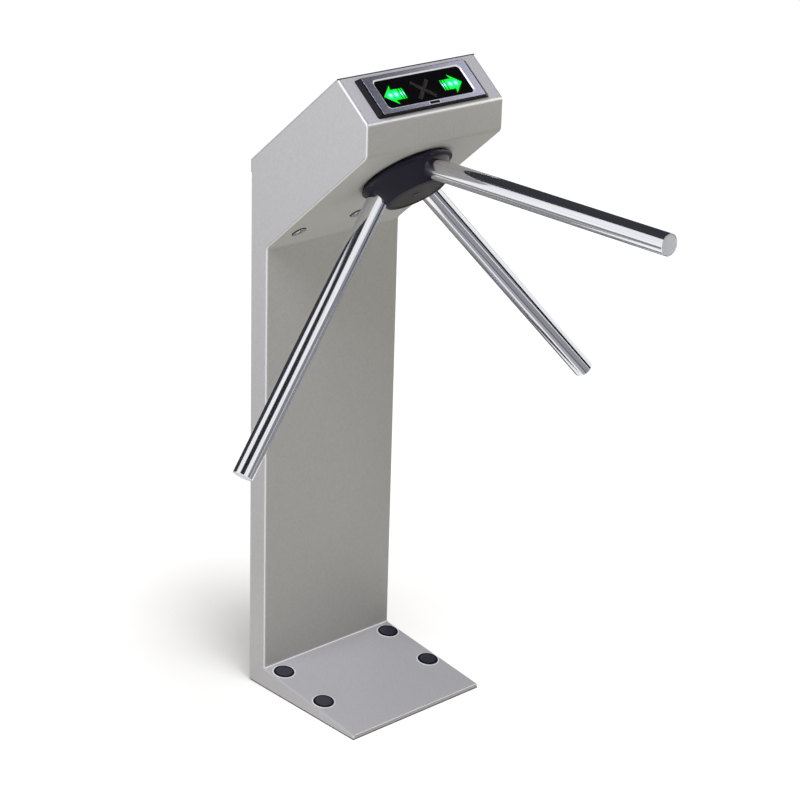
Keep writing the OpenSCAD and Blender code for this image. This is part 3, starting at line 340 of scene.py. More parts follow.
# Adds a node with its settings and links, and with (place, tone) stops if it is a ramp
def addNode(tree, kind, values=None, feeds=None, stops=(), **settings):
    node = tree.nodes.new("ShaderNode" + kind)
    node.location.x = 200 * len(tree.nodes)
    for key, value in settings.items():
        setattr(node, key, value)
    for key, value in (values or {}).items():
        node.inputs[key].default_value = value
    for key, source in (feeds or {}).items():
        tree.links.new(source, node.inputs[key])
    if stops:
        spots = node.color_ramp.elements
        spots[0].position, spots[1].position = stops[0][0], stops[-1][0]
        for at, tone in stops[1:-1]:
            spots.new(at)
        for spot, (at, tone) in zip(spots, stops):
            spot.color = toLinear(tone)
    return node


# A bare finish with its shader, and Object coordinates turned and stretched for its patterns
def startFinish(name, turn=(0, 0, 0), stretch=(1, 1, 1), mapping="POINT", **values):
    finish = bpy.data.materials.new(name)
    finish.use_nodes = True
    tree = finish.node_tree
    tree.nodes.clear()
    shader = addNode(tree, "BsdfPrincipled", {
        key.replace("_", " "): value for key, value in values.items()})
    addNode(tree, "OutputMaterial", feeds={"Surface": shader.outputs["BSDF"]})
    coords = addNode(tree, "TexCoord")
    place = addNode(tree, "Mapping", {"Rotation": turn, "Scale": stretch},
                    {"Vector": coords.outputs["Object"]}, vector_type=mapping)
    return finish, tree, shader, place.outputs["Vector"]


# Ties a shader to its patterns: colour, gloss between two values, relief (mm, strength)
def followPatterns(tree, shader, color, grain, gloss, height=None, relief=None):
    spread = addNode(tree, "MapRange", {"From Min": 0.3, "From Max": 0.7, "To Min": gloss[0],
                                        "To Max": gloss[1]}, {"Value": grain})
    tree.links.new(color, shader.inputs["Base Color"])
    tree.links.new(spread.outputs["Result"], shader.inputs["Roughness"])
    if relief:
        bump = addNode(tree, "Bump", {"Distance": relief[0] * mm, "Strength": relief[1]},
                       {"Height": height})
        tree.links.new(bump.outputs["Normal"], shader.inputs["Normal"])


# A finish with two grains, each (size in mm, detail, roughness): the first for its tones,
# the second for its gloss and relief
def grainedFinish(name, toneGrain, stops, fineGrain, gloss, relief=None, **values):
    finish, tree, shader, place = startFinish(name, **values)
    tone, fine = [addNode(tree, "TexNoise", {"Scale": 1000 / size, "Detail": detail,
                                             "Roughness": rough}, {"Vector": place})
                  for size, detail, rough in (toneGrain, fineGrain)]
    ramp = addNode(tree, "ValToRGB", feeds={"Fac": tone.outputs["Fac"]}, stops=stops)
    followPatterns(tree, shader, ramp.outputs["Color"], fine.outputs["Fac"], gloss,
                   fine.outputs["Fac"], relief)
    return finish


# Fine textured polyester powder coat: soft grey with a faint speckle and a matt orange peel.
# The real grain is near 0.5 mm, drawn coarser so that it shows at this distance
def powderCoat(name, light, dark):
    return grainedFinish(name, (3.2, 5, 0.7), [(0.32, dark), (0.68, light)], (1.8, 3, 0.5),
                         (0.34, 0.46), (0.06, 0.35), Specular_IOR_Level=0.45)


# Polished stainless tube: mirror bands softened by long fine streaks along the tube
def polishedTube(name, way):
    streak = (2.2, 4, 0.6)
    # the Texture kind of mapping turns first and stretches after, so streaks follow the tube
    return grainedFinish(name, streak, [(0.25, "d6d8df"), (0.75, "f4f5f8")], streak,
                         (0.07, 0.13), (0.02, 0.25), stretch=(1, 1, 80), mapping="TEXTURE",
                         turn=Vector((0, 0, 1)).rotation_difference(way).to_euler(),
                         Metallic=1.0, Anisotropic=0.35)


# Turned, ground or plated metal: bright with a fine hazy grain
def groundSteel(name, light, dark, low, high, metal=1.0, sizeMm=1.5):
    return grainedFinish(name, (22, 3, 0.5), [(0.3, dark), (0.7, light)], (sizeMm, 4, 0.6),
                         (low, high), (0.02, 0.3), Metallic=metal)


# Sand-cast aluminium: dull with a grainy skin
def castAluminium(name):
    skin = (0.9, 5, 0.65)
    return grainedFinish(name, skin, [(0.25, "85888c"), (0.75, "b4b7ba")], skin, (0.5, 0.7),
                         (0.12, 0.6), Metallic=0.9)


# Moulded plastic: a faint spark-eroded grain that breaks the gloss
def mouldedPlastic(name, light, dark, low=0.35, high=0.48, grainMm=0.8, depthMm=0.03, **values):
    return grainedFinish(name, (30, 3, 0.5), [(0.3, dark), (0.7, light)], (grainMm, 3, 0.5),
                         (low, high), (depthMm, 0.4), **values)


# Anodised aluminium: satin gunmetal with a fine grain drawn along its length
def bezelMetal(name):
    drawn = (0.5, 3, 0.5)
    return grainedFinish(name, drawn, [(0.3, "86878f"), (0.7, "9899a3")], drawn, (0.16, 0.24),
                         (0.01, 0.2), stretch=(0.03, 1, 1), Metallic=0.85)


# Cast acrylic sheet: clear to the lamps behind it, with hardly a trace of unevenness
def smokedAcrylic(name):
    return grainedFinish(name, (60, 2, 0.5), [(0.3, "cfcfd3"), (0.7, "d6d6da")], (8, 2, 0.5),
                         (0.0, 0.03), Transmission_Weight=1.0, IOR=1.49,
                         Specular_IOR_Level=0.2)


# Lit arrow: vivid green with two white-hot lamp spots and pale middles in the tail bars
def litArrow(name, lampSpots, barSpots, lampReach=11.0, barReach=8.5):
    finish, tree, shader, place = startFinish(name, Roughness=0.4, Emission_Strength=2.4)
    hot = None
    for spots, reach in ((lampSpots, lampReach), (barSpots, barReach)):
        for spot in spots:
            far = addNode(tree, "VectorMath", {1: spot}, {0: place}, operation="DISTANCE")
            close = addNode(tree, "MapRange", {"From Min": reach * mm, "From Max": 0.0,
                                               "To Min": 0.0, "To Max": 1.0},
                            {"Value": far.outputs["Value"]}, interpolation_type="SMOOTHERSTEP")
            glow = close.outputs["Result"]
            hot = glow if hot is None else addNode(
                tree, "Math", feeds={0: hot, 1: glow}, operation="MAXIMUM").outputs["Value"]
    ramp = addNode(tree, "ValToRGB", feeds={"Fac": hot}, stops=[
        (0.0, "04d820"), (0.3, "08ee58"), (0.72, "18fb90"), (1.0, "a4ffe6")])
    for socket in ("Base Color", "Emission Color"):
        tree.links.new(ramp.outputs["Color"], shader.inputs[socket])
    return finish


# Circuit board: green lacquer with darker copper runs, drawn coarser than real to show
def circuitBoard(name):
    finish, tree, shader, place = startFinish(name, Coat_Weight=0.4, Coat_Roughness=0.15)
    runs = addNode(tree, "TexBrick", {"Scale": 90.0, "Mortar Size": 0.012,
                                      "Color1": toLinear("1d6b3c"), "Color2": toLinear("17582f"),
                                      "Mortar": toLinear("0d3d22")}, {"Vector": place})
    grain = addNode(tree, "TexNoise", {"Scale": 1000 / 3}, {"Vector": place})
    followPatterns(tree, shader, runs.outputs["Color"], grain.outputs["Fac"], (0.35, 0.5),
                   runs.outputs["Fac"], (0.03, 0.5))
    return finish


# Wound coil under black tape: fine ridges round it
def coilTape(name):
    finish, tree, shader, place = startFinish(name)
    ridges = addNode(tree, "TexWave", {"Scale": 400.0, "Distortion": 0.4}, {"Vector": place},
                     bands_direction="X")
    grain = addNode(tree, "TexNoise", {"Scale": 1000 / 2}, {"Vector": place})
    ramp = addNode(tree, "ValToRGB", feeds={"Fac": ridges.outputs["Fac"]},
                   stops=[(0.2, "141416"), (0.8, "26262a")])
    followPatterns(tree, shader, ramp.outputs["Color"], grain.outputs["Fac"], (0.4, 0.55),
                   ridges.outputs["Fac"], (0.05, 0.5))
    return finish


finishes = {
    "paint": powderCoat("powderCoat", "c4c4c1", "b9b9b6"),
    # the bends' crests get a paler coat: a painted highlight where the bent sheet catches the
    # light
    "bendHighlightPaint": powderCoat("bendHighlightCoat", "f4f4f2", "ececea"),
    "coverPaint": powderCoat("coverPowderCoat", "c3c3c1", "b8b8b6"),
    # cold-rolled plate, ground flat: mid grey with a dull sheen
    "steelPlate": groundSteel("groundPlate", "6a6c70", "55575b", 0.38, 0.52),
    # the same, blacked, so it disappears under the foot
    "basePlate": groundSteel("darkBasePlate", "34353a", "292a2e", 0.45, 0.6, 0.6),
    # zinc plate on the small fixings: bluish white and hazy
    "zinc": groundSteel("zincPlate", "c6c9cf", "aeb2b9", 0.28, 0.42, sizeMm=3.0),
    # hardened steel, polished: a clear but soft mirror
    "polishedSteel": groundSteel("polishedSteel", "d4d6da", "c4c6cb", 0.12, 0.22),
    # turned brass: warm yellow, softly bright
    "brass": groundSteel("turnedBrass", "c9a24e", "b58d3c", 0.22, 0.34),
    # chromed casting: the brightest metal here
    "lockChrome": groundSteel("lockChrome", "dcdee2", "cfd1d6", 0.08, 0.16),
    "castAluminium": castAluminium("castAluminium"),
    # glass-filled nylon: near black with a violet cast and little sheen
    "hubPlastic": mouldedPlastic("hubPlastic", "19172a", "131122", 0.34, 0.46,
                                 Specular_IOR_Level=0.2),
    # ABS: warm dark grey and satin
    "hubDisc": mouldedPlastic("hubDisc", "373533", "31302e", 0.45, 0.55,
                              Specular_IOR_Level=0.25),
    # ABS: almost black, so that the display's base sinks back
    "blackPlastic": mouldedPlastic("blackPlastic", "0c0c0e", "08080a", 0.34, 0.46,
                                   Specular_IOR_Level=0.12),
    # polypropylene: dark slate with a soft sheen
    "capPlastic": mouldedPlastic("capPlastic", "353541", "2e2e39", 0.34, 0.46,
                                 Specular_IOR_Level=0.3),
    # printed polyester film: dead black, with no sheen at all
    "maskPlastic": mouldedPlastic("maskFilm", "070708", "050506", 0.6, 0.7,
                                  Specular_IOR_Level=0.0),
    # polyethylene: pale and waxy
    "plugPlastic": mouldedPlastic("plugPlastic", "eff4fb", "e5ecf5", 0.3, 0.42),
    # pale ring round the foot caps: a painted highlight on the edge of each cap's hole
    "capRingHighlight": mouldedPlastic("paintedHighlightRing", "f4f4f0", "ecece8", 0.35, 0.45),
    # polycarbonate diffuser, unlit: warm grey, seen dimly through the window
    "unlitGrey": mouldedPlastic("unlitLamp", "877e76", "7d756d", 0.6, 0.7,
                                Specular_IOR_Level=0.0),
    # EPDM rubber: dull and dark, without highlights
    "rubber": mouldedPlastic("grommetRubber", "1e1e1e", "171717", 0.6, 0.75, 0.6, 0.05),
    # dull dark grey for the cover's cut edges: painted shade of the gap under them
    "gapShadeEdge": mouldedPlastic("gapShadeEdge", "3c3c3f", "353538", 0.6, 0.75, 0.6, 0.05,
                               Specular_IOR_Level=0.2),
    "bezelMetal": bezelMetal("anodisedFrame"),
    "windowTint": smokedAcrylic("smokedAcrylic"),
    # diamond-cut aluminium edge, half diffuse and nearly white: a real cut edge and partly a
    # painted highlight
    "brightCutHighlight": groundSteel("cutEdgeHighlight", "f4f4f8", "e6e6ec", 0.3, 0.4, metal=0.5),
    # blacked zinc plate: dark with a soft glint
    "darkZinc": groundSteel("blackedZinc", "6a6a70", "4e4e54", 0.25, 0.35),
    "board": circuitBoard("circuitBoard"),
    "coil": coilTape("coilTape"),
}
print("finishes ready:", len(finishes))


def dress(piece, finish, body, slot, *nodes):
    piece.data.materials.clear()
    piece.data.materials.append(finishes[finish] if isinstance(finish, str) else finish)
    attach(piece, body)
    if nodes:
        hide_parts(*nodes)
    return piece


# The bent-sheet housing
housing = {
    "halfWidth": 136,
    "sheet": 2,
    "sideBend": 4,
    "rail": 14,
    "low": 2.1,
    "bends": {"frontTop": 4.0, "frontLow": 5.0, "throat": 3.5, "footBack": 3.5},
    "footLip": 0.9,
    "hubHole": 70,
    "lockHole": 10.1,
    "lockSpots": [(-101, 164), (0, 140.5)],
    "capHole": 15.05,
    "capSpots": [(x, f) for x in (-114, 114) for f in (62, 162)],
    "screenHole": (176.6, 56.6, 8),
    "pegHole": 3.3,
    "pegSide": 127,
    "pegShares": (0.12, 0.85),
    "seam": (1.4, 83.5, 0.1),
    "seamDepth": 1.3,
    "seamIn": 4.6,
    "seamUp": 1.6,
    "crossRail": (243, 14, 0.5, -4.2, -2.2),
    "crossRailUp": 9.5,
    # bends whose crest gets the painted highlight: [place, middle of their turn and half its
    # width in degrees from upright, reach in mm]
    "highlightBends": [("frontTop", 64.5, 9.5, 6), ("footBack", 48.5, 15, 6),
                  ("footTip", 48.5, 44, 3)],
    # side bends whose normals fall in this range get the painted highlight too
    "highlightSide": (0.55, 0.85),
}
# The foot caps' places in the foot's own frame
capPlaces = [(x, -(f - side["footBack"][0]) / math.cos(math.radians(footTilt)))
             for x, f in housing["capSpots"]]


def near(a, b, slack=2e-5):
    return abs(a - b) < slack


def makeHousing():
    keys = ["seatBack", "seatRidge", "frontTop", "frontLow", "throat", "footBack", "footTip"]
    half = housing["halfWidth"] * mm
    low = housing["low"]
    outline = [(0, low)] + [side[k] for k in keys] + [(side["footTip"][0], low)]
    shell = pullOutline([sidePlace(p, -housing["halfWidth"]) for p in outline],
                        (2 * half, 0, 0))
    settle(shell, "housing")
    # long bends across the housing
    for key, size in housing["bends"].items():
        spot = sidePlace(side[key])

        def onBend(a, b):
            return (near(a.y, b.y) and near(a.z, b.z) and near(a.y, spot.y, 1e-4)
                    and near(a.z, spot.z, 1e-4))
        pickEdges(shell, onBend)
        bevelPicked(size, 6)
    # the bent edges between the side panels and the front
    slopeUp = slopeFrame.to_3x3() @ Vector((0, 0, 1))
    back = side["backY"] * mm
    seat = sidePlace(side["seatBack"])

    def onSlope(p):
        return near((p - seat).dot(slopeUp), 0, 3e-5)

    def atSide(a, b):
        return near(abs(a.x), half) and near(abs(b.x), half) and a.x * b.x > 0

    def openEdge(a, b):
        return ((near(a.y, back) and near(b.y, back))
                or (near(a.z, low * mm) and near(b.z, low * mm))
                or (onSlope(a) and onSlope(b)))

    pickEdges(shell, lambda a, b: atSide(a, b) and not openEdge(a, b))
    bevelPicked(housing["sideBend"], 6)
    # the foot's front edge is folded tighter
    tip = sidePlace(side["footTip"])
    pickEdges(shell, lambda a, b: near(a.y, tip.y, 1e-4) and near(b.y, tip.y, 1e-4)
              and near(a.z, tip.z, 1e-4) and near(b.z, tip.z, 1e-4) and abs(a.x - b.x) > 0.2)
    bevelPicked(housing["footLip"], 3)
    # open the slope and the back
    pickFaces(shell, lambda c, n: n.dot(slopeUp) > 0.999 or n.y > 0.999)
    bpy.ops.mesh.delete(type="FACE")
    bpy.ops.object.mode_set(mode="OBJECT")
    # fold the rails of the slope inwards
    for s in (-1, 1):
        pickEdges(shell, lambda a, b: near(a.x, s * half) and near(b.x, s * half)
                  and onSlope(a) and onSlope(b))
        bpy.ops.mesh.extrude_edges_move(
            TRANSFORM_OT_translate={"value": (-s * housing["rail"] * mm, 0, 0)})
        bpy.ops.object.mode_set(mode="OBJECT")
    print("housing skin:", len(shell.data.polygons), "faces")
    wall = shell.modifiers.new("sheet", "SOLIDIFY")
    wall.thickness, wall.offset, wall.use_even_offset = housing["sheet"] * mm, -1, True
    applyAll(shell)
    return shell


def roundCutter(radius, place, spot, deep=20, steps=96):
    cutter = turnOutline([(0, -deep), (radius, -deep), (radius, deep), (0, deep)], steps)
    return settle(cutter, "cutter", stepped(place, *spot))


def cutHousing(shell):
    combine(shell, roundCutter(housing["hubHole"], undersideFrame, (0, 0)))
    for spot in housing["lockSpots"]:
        combine(shell, roundCutter(housing["lockHole"], undersideFrame, spot, steps=48))
    for spot in capPlaces:
        combine(shell, roundCutter(housing["capHole"], footFrame, spot, 8, 48))
    w, h, corner = housing["screenHole"]
    combine(shell, settle(roundPlate(w, h, corner, -8, 8), "cutter", faceFrame))
    run = (Vector(side["seatRidge"]) - Vector(side["seatBack"])).length
    for x in (-housing["pegSide"], housing["pegSide"]):
        for share in housing["pegShares"]:
            combine(shell, roundCutter(housing["pegHole"], slopeFrame, (x, share * run), 8, 24))
    # fine seams where the side panels' flanges meet the display face
    deep, out = housing["seamDepth"], housing["halfWidth"] - housing["seamIn"]
    for s in (-1, 1):
        seam = roundPlate(*housing["seam"], -deep, deep, 2)
        combine(shell, settle(seam, "cutter", stepped(faceFrame, s * out, housing["seamUp"])))
    return shell


# Paints highlights on the crests of the bends in a paler coat
def paintBendHighlights(shell):
    shell.data.materials.append(finishes["bendHighlightPaint"])
    low, high = housing["highlightSide"]
    for face in shell.data.polygons:
        way, spot = face.normal, face.center
        outer = abs(spot.x) > (housing["halfWidth"] - housing["sideBend"] - 0.1) * mm
        pale = outer and low < abs(way.x) < high and way.x * spot.x > 0
        if way.z > 0.3 and spot.z < side["footBack"][1] * mm:
            pale = False  # the foot's sloping sides get no painted highlight
        turn = math.degrees(math.atan2(-way.y, way.z))
        for key, middle, wide, reach in housing["highlightBends"]:
            at = sidePlace(side[key])
            if (abs(turn - middle) < wide and abs(way.x) < 0.2
                    and math.hypot(spot.y - at.y, spot.z - at.z) < reach * mm):
                pale = True
        if pale:
            face.material_index = 1


shell = cutHousing(makeHousing())
cross = settle(roundPlate(*housing["crossRail"]), "crossRail",
               stepped(slopeFrame, 0, housing["crossRailUp"]))
shell = joined(shell, cross)
smooth(shell, 28)
dress(shell, "paint", "housing", "paint", "housing_shell")
# painted highlights along the bends
paintBendHighlights(shell)
print("housing done:", len(shell.data.polygons), "faces")

panel = softCopy("post_back_panel", "backPanel", 0.6)
dress(panel, "paint", "housing", "paint", "post_back_panel")
cover = softCopy("rear_cover", "rearCover", 0.6, 3)
dress(cover, "coverPaint", "rear_cover", "cover_paint", "rear_cover")
# the cover's cut edges over the slope get a dull dark finish: painted shade for the gap between
# cover and housing
coverGapShade = {"low": -2.2, "high": 0.1, "from": -1, "steep": 0.8}
cover.data.materials.append(finishes["gapShadeEdge"])
slopeTurn = slopeFrame.inverted()
for face in cover.data.polygons:
    spot, way = slopeTurn @ face.center, slopeTurn.to_3x3() @ face.normal
    if (abs(way.z) < coverGapShade["steep"] and spot.y > coverGapShade["from"] * mm
            and coverGapShade["low"] * mm < spot.z < coverGapShade["high"] * mm):
        face.material_index = 1
print("covers done")

footSeal = {"outer": (271.6, 259.6, 1.5), "wide": 1.5, "low": 0.1, "high": 2.05}


# A thin dark strip between the housing's lower edge and the floor, in the rubber finish: painted
# shade for the gap under the housing
def makeFootShadeStrip():
    width, depth, corner = footSeal["outer"]
    strip = roundPlate(width, depth, corner, footSeal["low"], footSeal["high"], 3)
    wide = 2 * footSeal["wide"]
    combine(strip, roundPlate(width - wide, depth - wide, 0.5, -2, 4, 3))
    middle = side["backY"] - side["footTip"][0] / 2
    breakEdges(strip, 0.2, 2, 60)
    smooth(settle(strip, "footSeal", Matrix.Translation((0, middle * mm, 0))))
    dress(strip, "rubber", "housing", "rubber")


makeFootShadeStrip()

# The display on the front face
display = {
    "base": (220, 71, 3),
    "baseBend": 0.8,
    "ramp": (7.6, 1.0, 5.6),
    "tub": (176, 56, 8),
    "well": (172, 52, 6),
    "baseTop": 3,
    "tubDeep": 14,
    "frame": (202, 67, 0.7),
    "frameTop": 6.5,
    "frameSeat": (202.1, 67.1, 0.7),
    "chamfer": (2.0, 1.3),
    "opening": (169.4, 50.0, 7),
    "glassSeat": (174.6, 56.6, 8),
    "glass": (174, 56, 8),
    "mask": (171.9, 51.9, 6),
}


def makeDisplay():
    # the base's rim slopes up to the frame
    inX, inY, rise = display["ramp"]
    base = taperedPlate(*display["base"], 0, display["baseBend"], rise, inX, inY)
    breakEdges(base, 0.5, 3, 20)
    combine(base, roundPlate(*display["frameSeat"], display["baseTop"], 12, 6))
    combine(base, roundPlate(*display["tub"], -display["tubDeep"], 1), "UNION")
    combine(base, roundPlate(*display["well"], -display["tubDeep"] + 2, 10))
    smooth(settle(base, "displayBase", faceFrame))
    dress(base, "blackPlastic", "housing", "black_plastic", "display_base")

    rim = roundPlate(*display["frame"], display["baseTop"], display["frameTop"], 10)
    breakEdges(rim, 0.4, 3, 60)
    # the opening widens into a bright chamfer at the top
    out, deep = display["chamfer"]
    top = display["frameTop"]
    combine(rim, taperedPlate(*display["opening"], 0, top - deep, top + deep, -2 * out, -2 * out))
    combine(rim, roundPlate(*display["glassSeat"], 0, 5.05, 10))
    smooth(settle(rim, "displayFrame", faceFrame), 28)
    dress(rim, "bezelMetal", "housing", "bezel_metal", "display_bezel")
    rim.data.materials.append(finishes["brightCutHighlight"])
    rim.data.materials.append(finishes["maskPlastic"])
    up, turn = faceFrame.to_3x3() @ Vector((0, 0, 1)), faceFrame.inverted()
    reach = [(display["opening"][i] / 2 + out + 0.3) * mm for i in (0, 1)]
    for face in rim.data.polygons:
        spot, rise = turn @ face.center, face.normal.dot(up)
        # the chamfer takes the bright-cut finish, partly a painted highlight
        if 0.3 < rise < 0.97 and abs(spot.x) < reach[0] and abs(spot.y) < reach[1]:
            face.material_index = 1
        elif rise < 0.3:
            face.material_index = 2  # its side walls take the dead black film finish

    glass = roundPlate(*display["glass"], display["baseTop"], 5)
    breakEdges(glass, 0.3, 2, 60)
    smooth(settle(glass, "displayGlass", faceFrame))
    dress(glass, "windowTint", "housing", "window_tint", "display_window")

    mask = roundPlate(*display["mask"], -1.5, 0)
    breakEdges(mask, 0.2, 2, 60)
    smooth(settle(mask, "lampMask", faceFrame))
    dress(mask, "maskPlastic", "housing", "black_plastic", "indicator_mask")


icons = {"down": 1.0, "high": 0.6}
iconFrame = stepped(faceFrame, 0, -icons["down"])

# Heads, bars and lamps are in shares of the arrow's length from its tip, and half height
arrows = {
    "tip": 77,
    "length": 40,
    "halfHigh": 17,
    "head": [(0, 0), (-0.5, 1), (-0.44, 0.55), (-0.75, 0.55), (-0.75, -0.55),
             (-0.44, -0.55), (-0.5, -1)],
    "bars": [(-0.8, -0.88), (-0.94, -0.98)],
    "barHalf": 0.55,
    "lamps": (-0.31, -0.58),
}


def arrowPart(shares, way):
    tip, length, halfHigh = arrows["tip"], arrows["length"], arrows["halfHigh"]
    points = [Vector((way * (tip + a * length), b * halfHigh, 0)) * mm for a, b in shares]
    return pullOutline(points, (0, 0, icons["high"] * mm))


# Places on the arrow's top where it glows
def glowSpots(shares, way):
    tip, length = arrows["tip"], arrows["length"]
    return [iconFrame @ (Vector((way * (tip + s * length), 0, icons["high"])) * mm)
            for s in shares]


def makeArrow(node, way):
    bar = arrows["barHalf"]
    outlines = [arrows["head"]] + [
        [(a, bar), (b, bar), (b, -bar), (a, -bar)] for a, b in arrows["bars"]]
    arrow = joined(*[arrowPart(shares, way) for shares in outlines])
    breakEdges(arrow, 0.15, 2, 50)
    smooth(settle(arrow, "litArrow" + ("Right" if way > 0 else "Left"), iconFrame))
    barMiddles = [(a + b) / 2 for a, b in arrows["bars"]]
    glow = litArrow(arrow.name + "Glow", glowSpots(arrows["lamps"], way),
                    glowSpots(barMiddles, way))
    dress(arrow, glow, "housing", "lit_green", node)


crossMark = {"height": 35, "width": 38, "bar": 6.2, "corner": 0.3}


def makeCross():
    tilt = math.atan2(crossMark["width"], crossMark["height"])
    bar = crossMark["bar"]
    reach = crossMark["height"] / math.cos(tilt) - bar
    strokes = []
    for s in (-1, 1):
        stroke = roundPlate(bar, reach, crossMark["corner"], 0, icons["high"], 3)
        strokes.append(settle(stroke, "stroke", Matrix.Rotation(s * tilt, 4, "Z")))
    mark = combine(strokes[0], strokes[1], "UNION")
    breakEdges(mark, 0.15, 2, 50)
    smooth(settle(mark, "unlitCross", iconFrame))
    dress(mark, "unlitGrey", "housing", "unlit_grey", "cross_mark")


tag = {"plate": (21, 6, 1), "rim": 0.7, "down": 29.6, "rise": 0.5}


# A small bare plate with a raised rim
def makeTag():
    w, h, corner = tag["plate"]
    place = stepped(faceFrame, 0, -tag["down"])
    top, rim = display["frameTop"], 2 * tag["rim"]
    plate = roundPlate(w, h, corner, top, top + tag["rise"], 4)
    combine(plate, roundPlate(w - rim, h - rim, 0.6, top + 0.3, 12, 4))
    breakEdges(plate, 0.12, 2, 60)
    smooth(settle(plate, "tagRim", place))
    # the rim takes the bright-cut finish, partly a painted highlight
    dress(plate, "brightCutHighlight", "housing", "bezel_metal", "bezel_tag")
    field = roundPlate(w - rim - 0.1, h - rim - 0.1, 0.5, top + 0.2, top + 0.4, 4)
    breakEdges(field, 0.05, 2, 60)
    smooth(settle(field, "tagField", place))
    dress(field, "blackPlastic", "housing", "black_plastic")


makeDisplay()
makeArrow("arrow_right", 1)
makeArrow("arrow_left", -1)
makeCross()
makeTag()
print("display done")

# The rotor: hub, disc, screw, arms and plugs
hub = {
    "outline": [(0, 8), (66, 8), (66, -4), (72.4, -4), (73.4, -4.3), (74, -5.2), (74, -6.8),
                (73.4, -7.7), (72.2, -8), (70.6, -8.2), (68.4, -8.9), (67.0, -10.2),
                (66, -12), (50.9, -36.4), (49.9, -38.2), (49.2, -39.4), (48.0, -40),
                (44.0, -40), (43.2, -39.2), (43.2, -37), (38, -37), (38, -31), (0, -31)],
    "armHole": 16.05,
    "armStart": 44,
    "disc": [(2.6, -37), (42.9, -37), (42.9, -39.0), (42.5, -39.4), (40.4, -39.4),
             (40.0, -38.9), (39.2, -38.9), (38.8, -39.5), (38.0, -39.55), (7.0, -39.4),
             (6.0, -39.0), (2.6, -39.0), (2.6, -37)],
    "screw": [(0, -37.5), (2.4, -37.5), (2.4, -39.4), (4.6, -39.4), (4.6, -40.2),
              (3.9, -40.6), (2.2, -40.7), (0, -40.7)],
    "slots": [(6.0, 0.9), (0.9, 6.0)],
    "slotReach": (-41.5, -40.2),
}


def makeHub():
    body = settle(turnOutline(hub["outline"], 128), "hub", undersideFrame)
    for node in armWays:
        hole = turnOutline([(0, hub["armStart"]), (hub["armHole"], hub["armStart"]),
                            (hub["armHole"], 120), (0, 120)], 64)
        combine(body, settle(hole, "cutter", armFrame(node)))
    smooth(body, 26)
    dress(body, "hubPlastic", "rotor", "hub_plastic", "hub_body")

    disc = settle(turnOutline(hub["disc"], 96), "hubDisc", undersideFrame)
    smooth(disc, 30)
    dress(disc, "hubDisc", "rotor", "hub_disc", "hub_cap")

    screw = turnOutline(hub["screw"], 48)
    for size in hub["slots"]:
        combine(screw, settle(roundPlate(*size, 0.2, *hub["slotReach"], 2), "cutter"))
    smooth(settle(screw, "hubDiscScrew", undersideFrame), 30)
    dress(screw, "darkZinc", "rotor", "zinc", "hub_cap_screw")


arms = {"radius": 16, "wall": 1.5, "start": 44, "end": 539, "plugIn": 12, "edge": 0.5,
        "plug": [(0, 527.2), (14.0, 527.2), (14.45, 527.8), (14.45, 538.3), (14.1, 538.8),
                 (13.2, 539.0), (12.4, 538.8), (11.8, 538.5), (0, 538.3)]}


# One tube, open at its far end, copied to the three arms' places
def makeArms():
    length = (arms["end"] - arms["start"]) * mm
    middle = (arms["end"] + arms["start"]) / 2 * mm
    clearPick()
    bpy.ops.mesh.primitive_cylinder_add(vertices=96, radius=arms["radius"] * mm, depth=length,
                                        location=(0, 0, middle))
    tube = bpy.context.object
    bpy.ops.object.transform_apply(location=True)
    pickFaces(tube, lambda c, n: n.z > 0.99)
    bpy.ops.mesh.inset(thickness=arms["wall"] * mm)
    bpy.ops.mesh.extrude_region_move(
        TRANSFORM_OT_translate={"value": (0, 0, -arms["plugIn"] * mm)})
    bpy.ops.object.mode_set(mode="OBJECT")
    breakEdges(tube, arms["edge"], 3, 60)
    for node, way in armWays.items():
        name = "arm" + node.split("_")[1].capitalize()
        arm = settle(copyOf(tube), name, armFrame(node))
        smooth(arm, 35)
        dress(arm, polishedTube(name + "Tube", way), "rotor", "polished_tube", node)
    bpy.data.objects.remove(tube, do_unlink=True)


def makePlugs():
    plugs = spread(turnOutline(arms["plug"], 64), "armPlugs", [armFrame(n) for n in armWays])
    dress(plugs, "plugPlastic", "rotor", "plug_plastic", "arm_plugs")


makeHub()
makeArms()
makePlugs()
print("rotor done")

# Foot caps, with pale rings that paint a highlight round them, and lock heads
caps = {
    "rimFrom": 13.8,
    "cap": [(0, 1.2), (9, 1.25), (13.4, 1.45), (14.3, 1.8), (15.5, 1.8), (16.5, 1.4),
            (17, 0.5), (17, 0), (15, 0), (15, -5), (13, -5), (13, -0.5), (0, -0.5)],
    "ring": [(17.05, 0), (19.2, 0), (19.2, 0.25), (18.8, 0.6), (17.4, 0.6), (17.05, 0.25),
             (17.05, 0)],
}
locks = {
    "gapShadeFrom": 10.8,
    "head": [(6.12, 17.9), (10, 17.9), (10, 0), (12, 0), (12, -0.9), (11.5, -1.5),
             (10.9, -1.6), (8.0, -1.6), (7.2, -1.3), (6.6, -0.9), (6.12, -0.9), (6.12, 17.9)],
}


# Gives a second finish to the faces further than the reach from the nearest spot
def paintBeyond(piece, finish, place, spots, reach):
    piece.data.materials.append(finishes[finish])
    turn = place.inverted()
    for face in piece.data.polygons:
        at = turn @ face.center
        away = min(math.hypot(at.x - x * mm, at.y - y * mm) for x, y in spots)
        if away > reach * mm:
            face.material_index = 1


def makeCaps():
    places = [stepped(footFrame, *spot) for spot in capPlaces]
    discs = spread(turnOutline(caps["cap"], 64), "footCaps", places)
    dress(discs, "capPlastic", "housing", "black_plastic", "anchor_caps")
    paintBeyond(discs, "blackPlastic", footFrame, capPlaces, caps["rimFrom"])
    # a raised pale ring round each cap: painted highlight
    rings = spread(turnOutline(caps["ring"], 64), "footRings", places)
    dress(rings, "capRingHighlight", "housing", "paint")


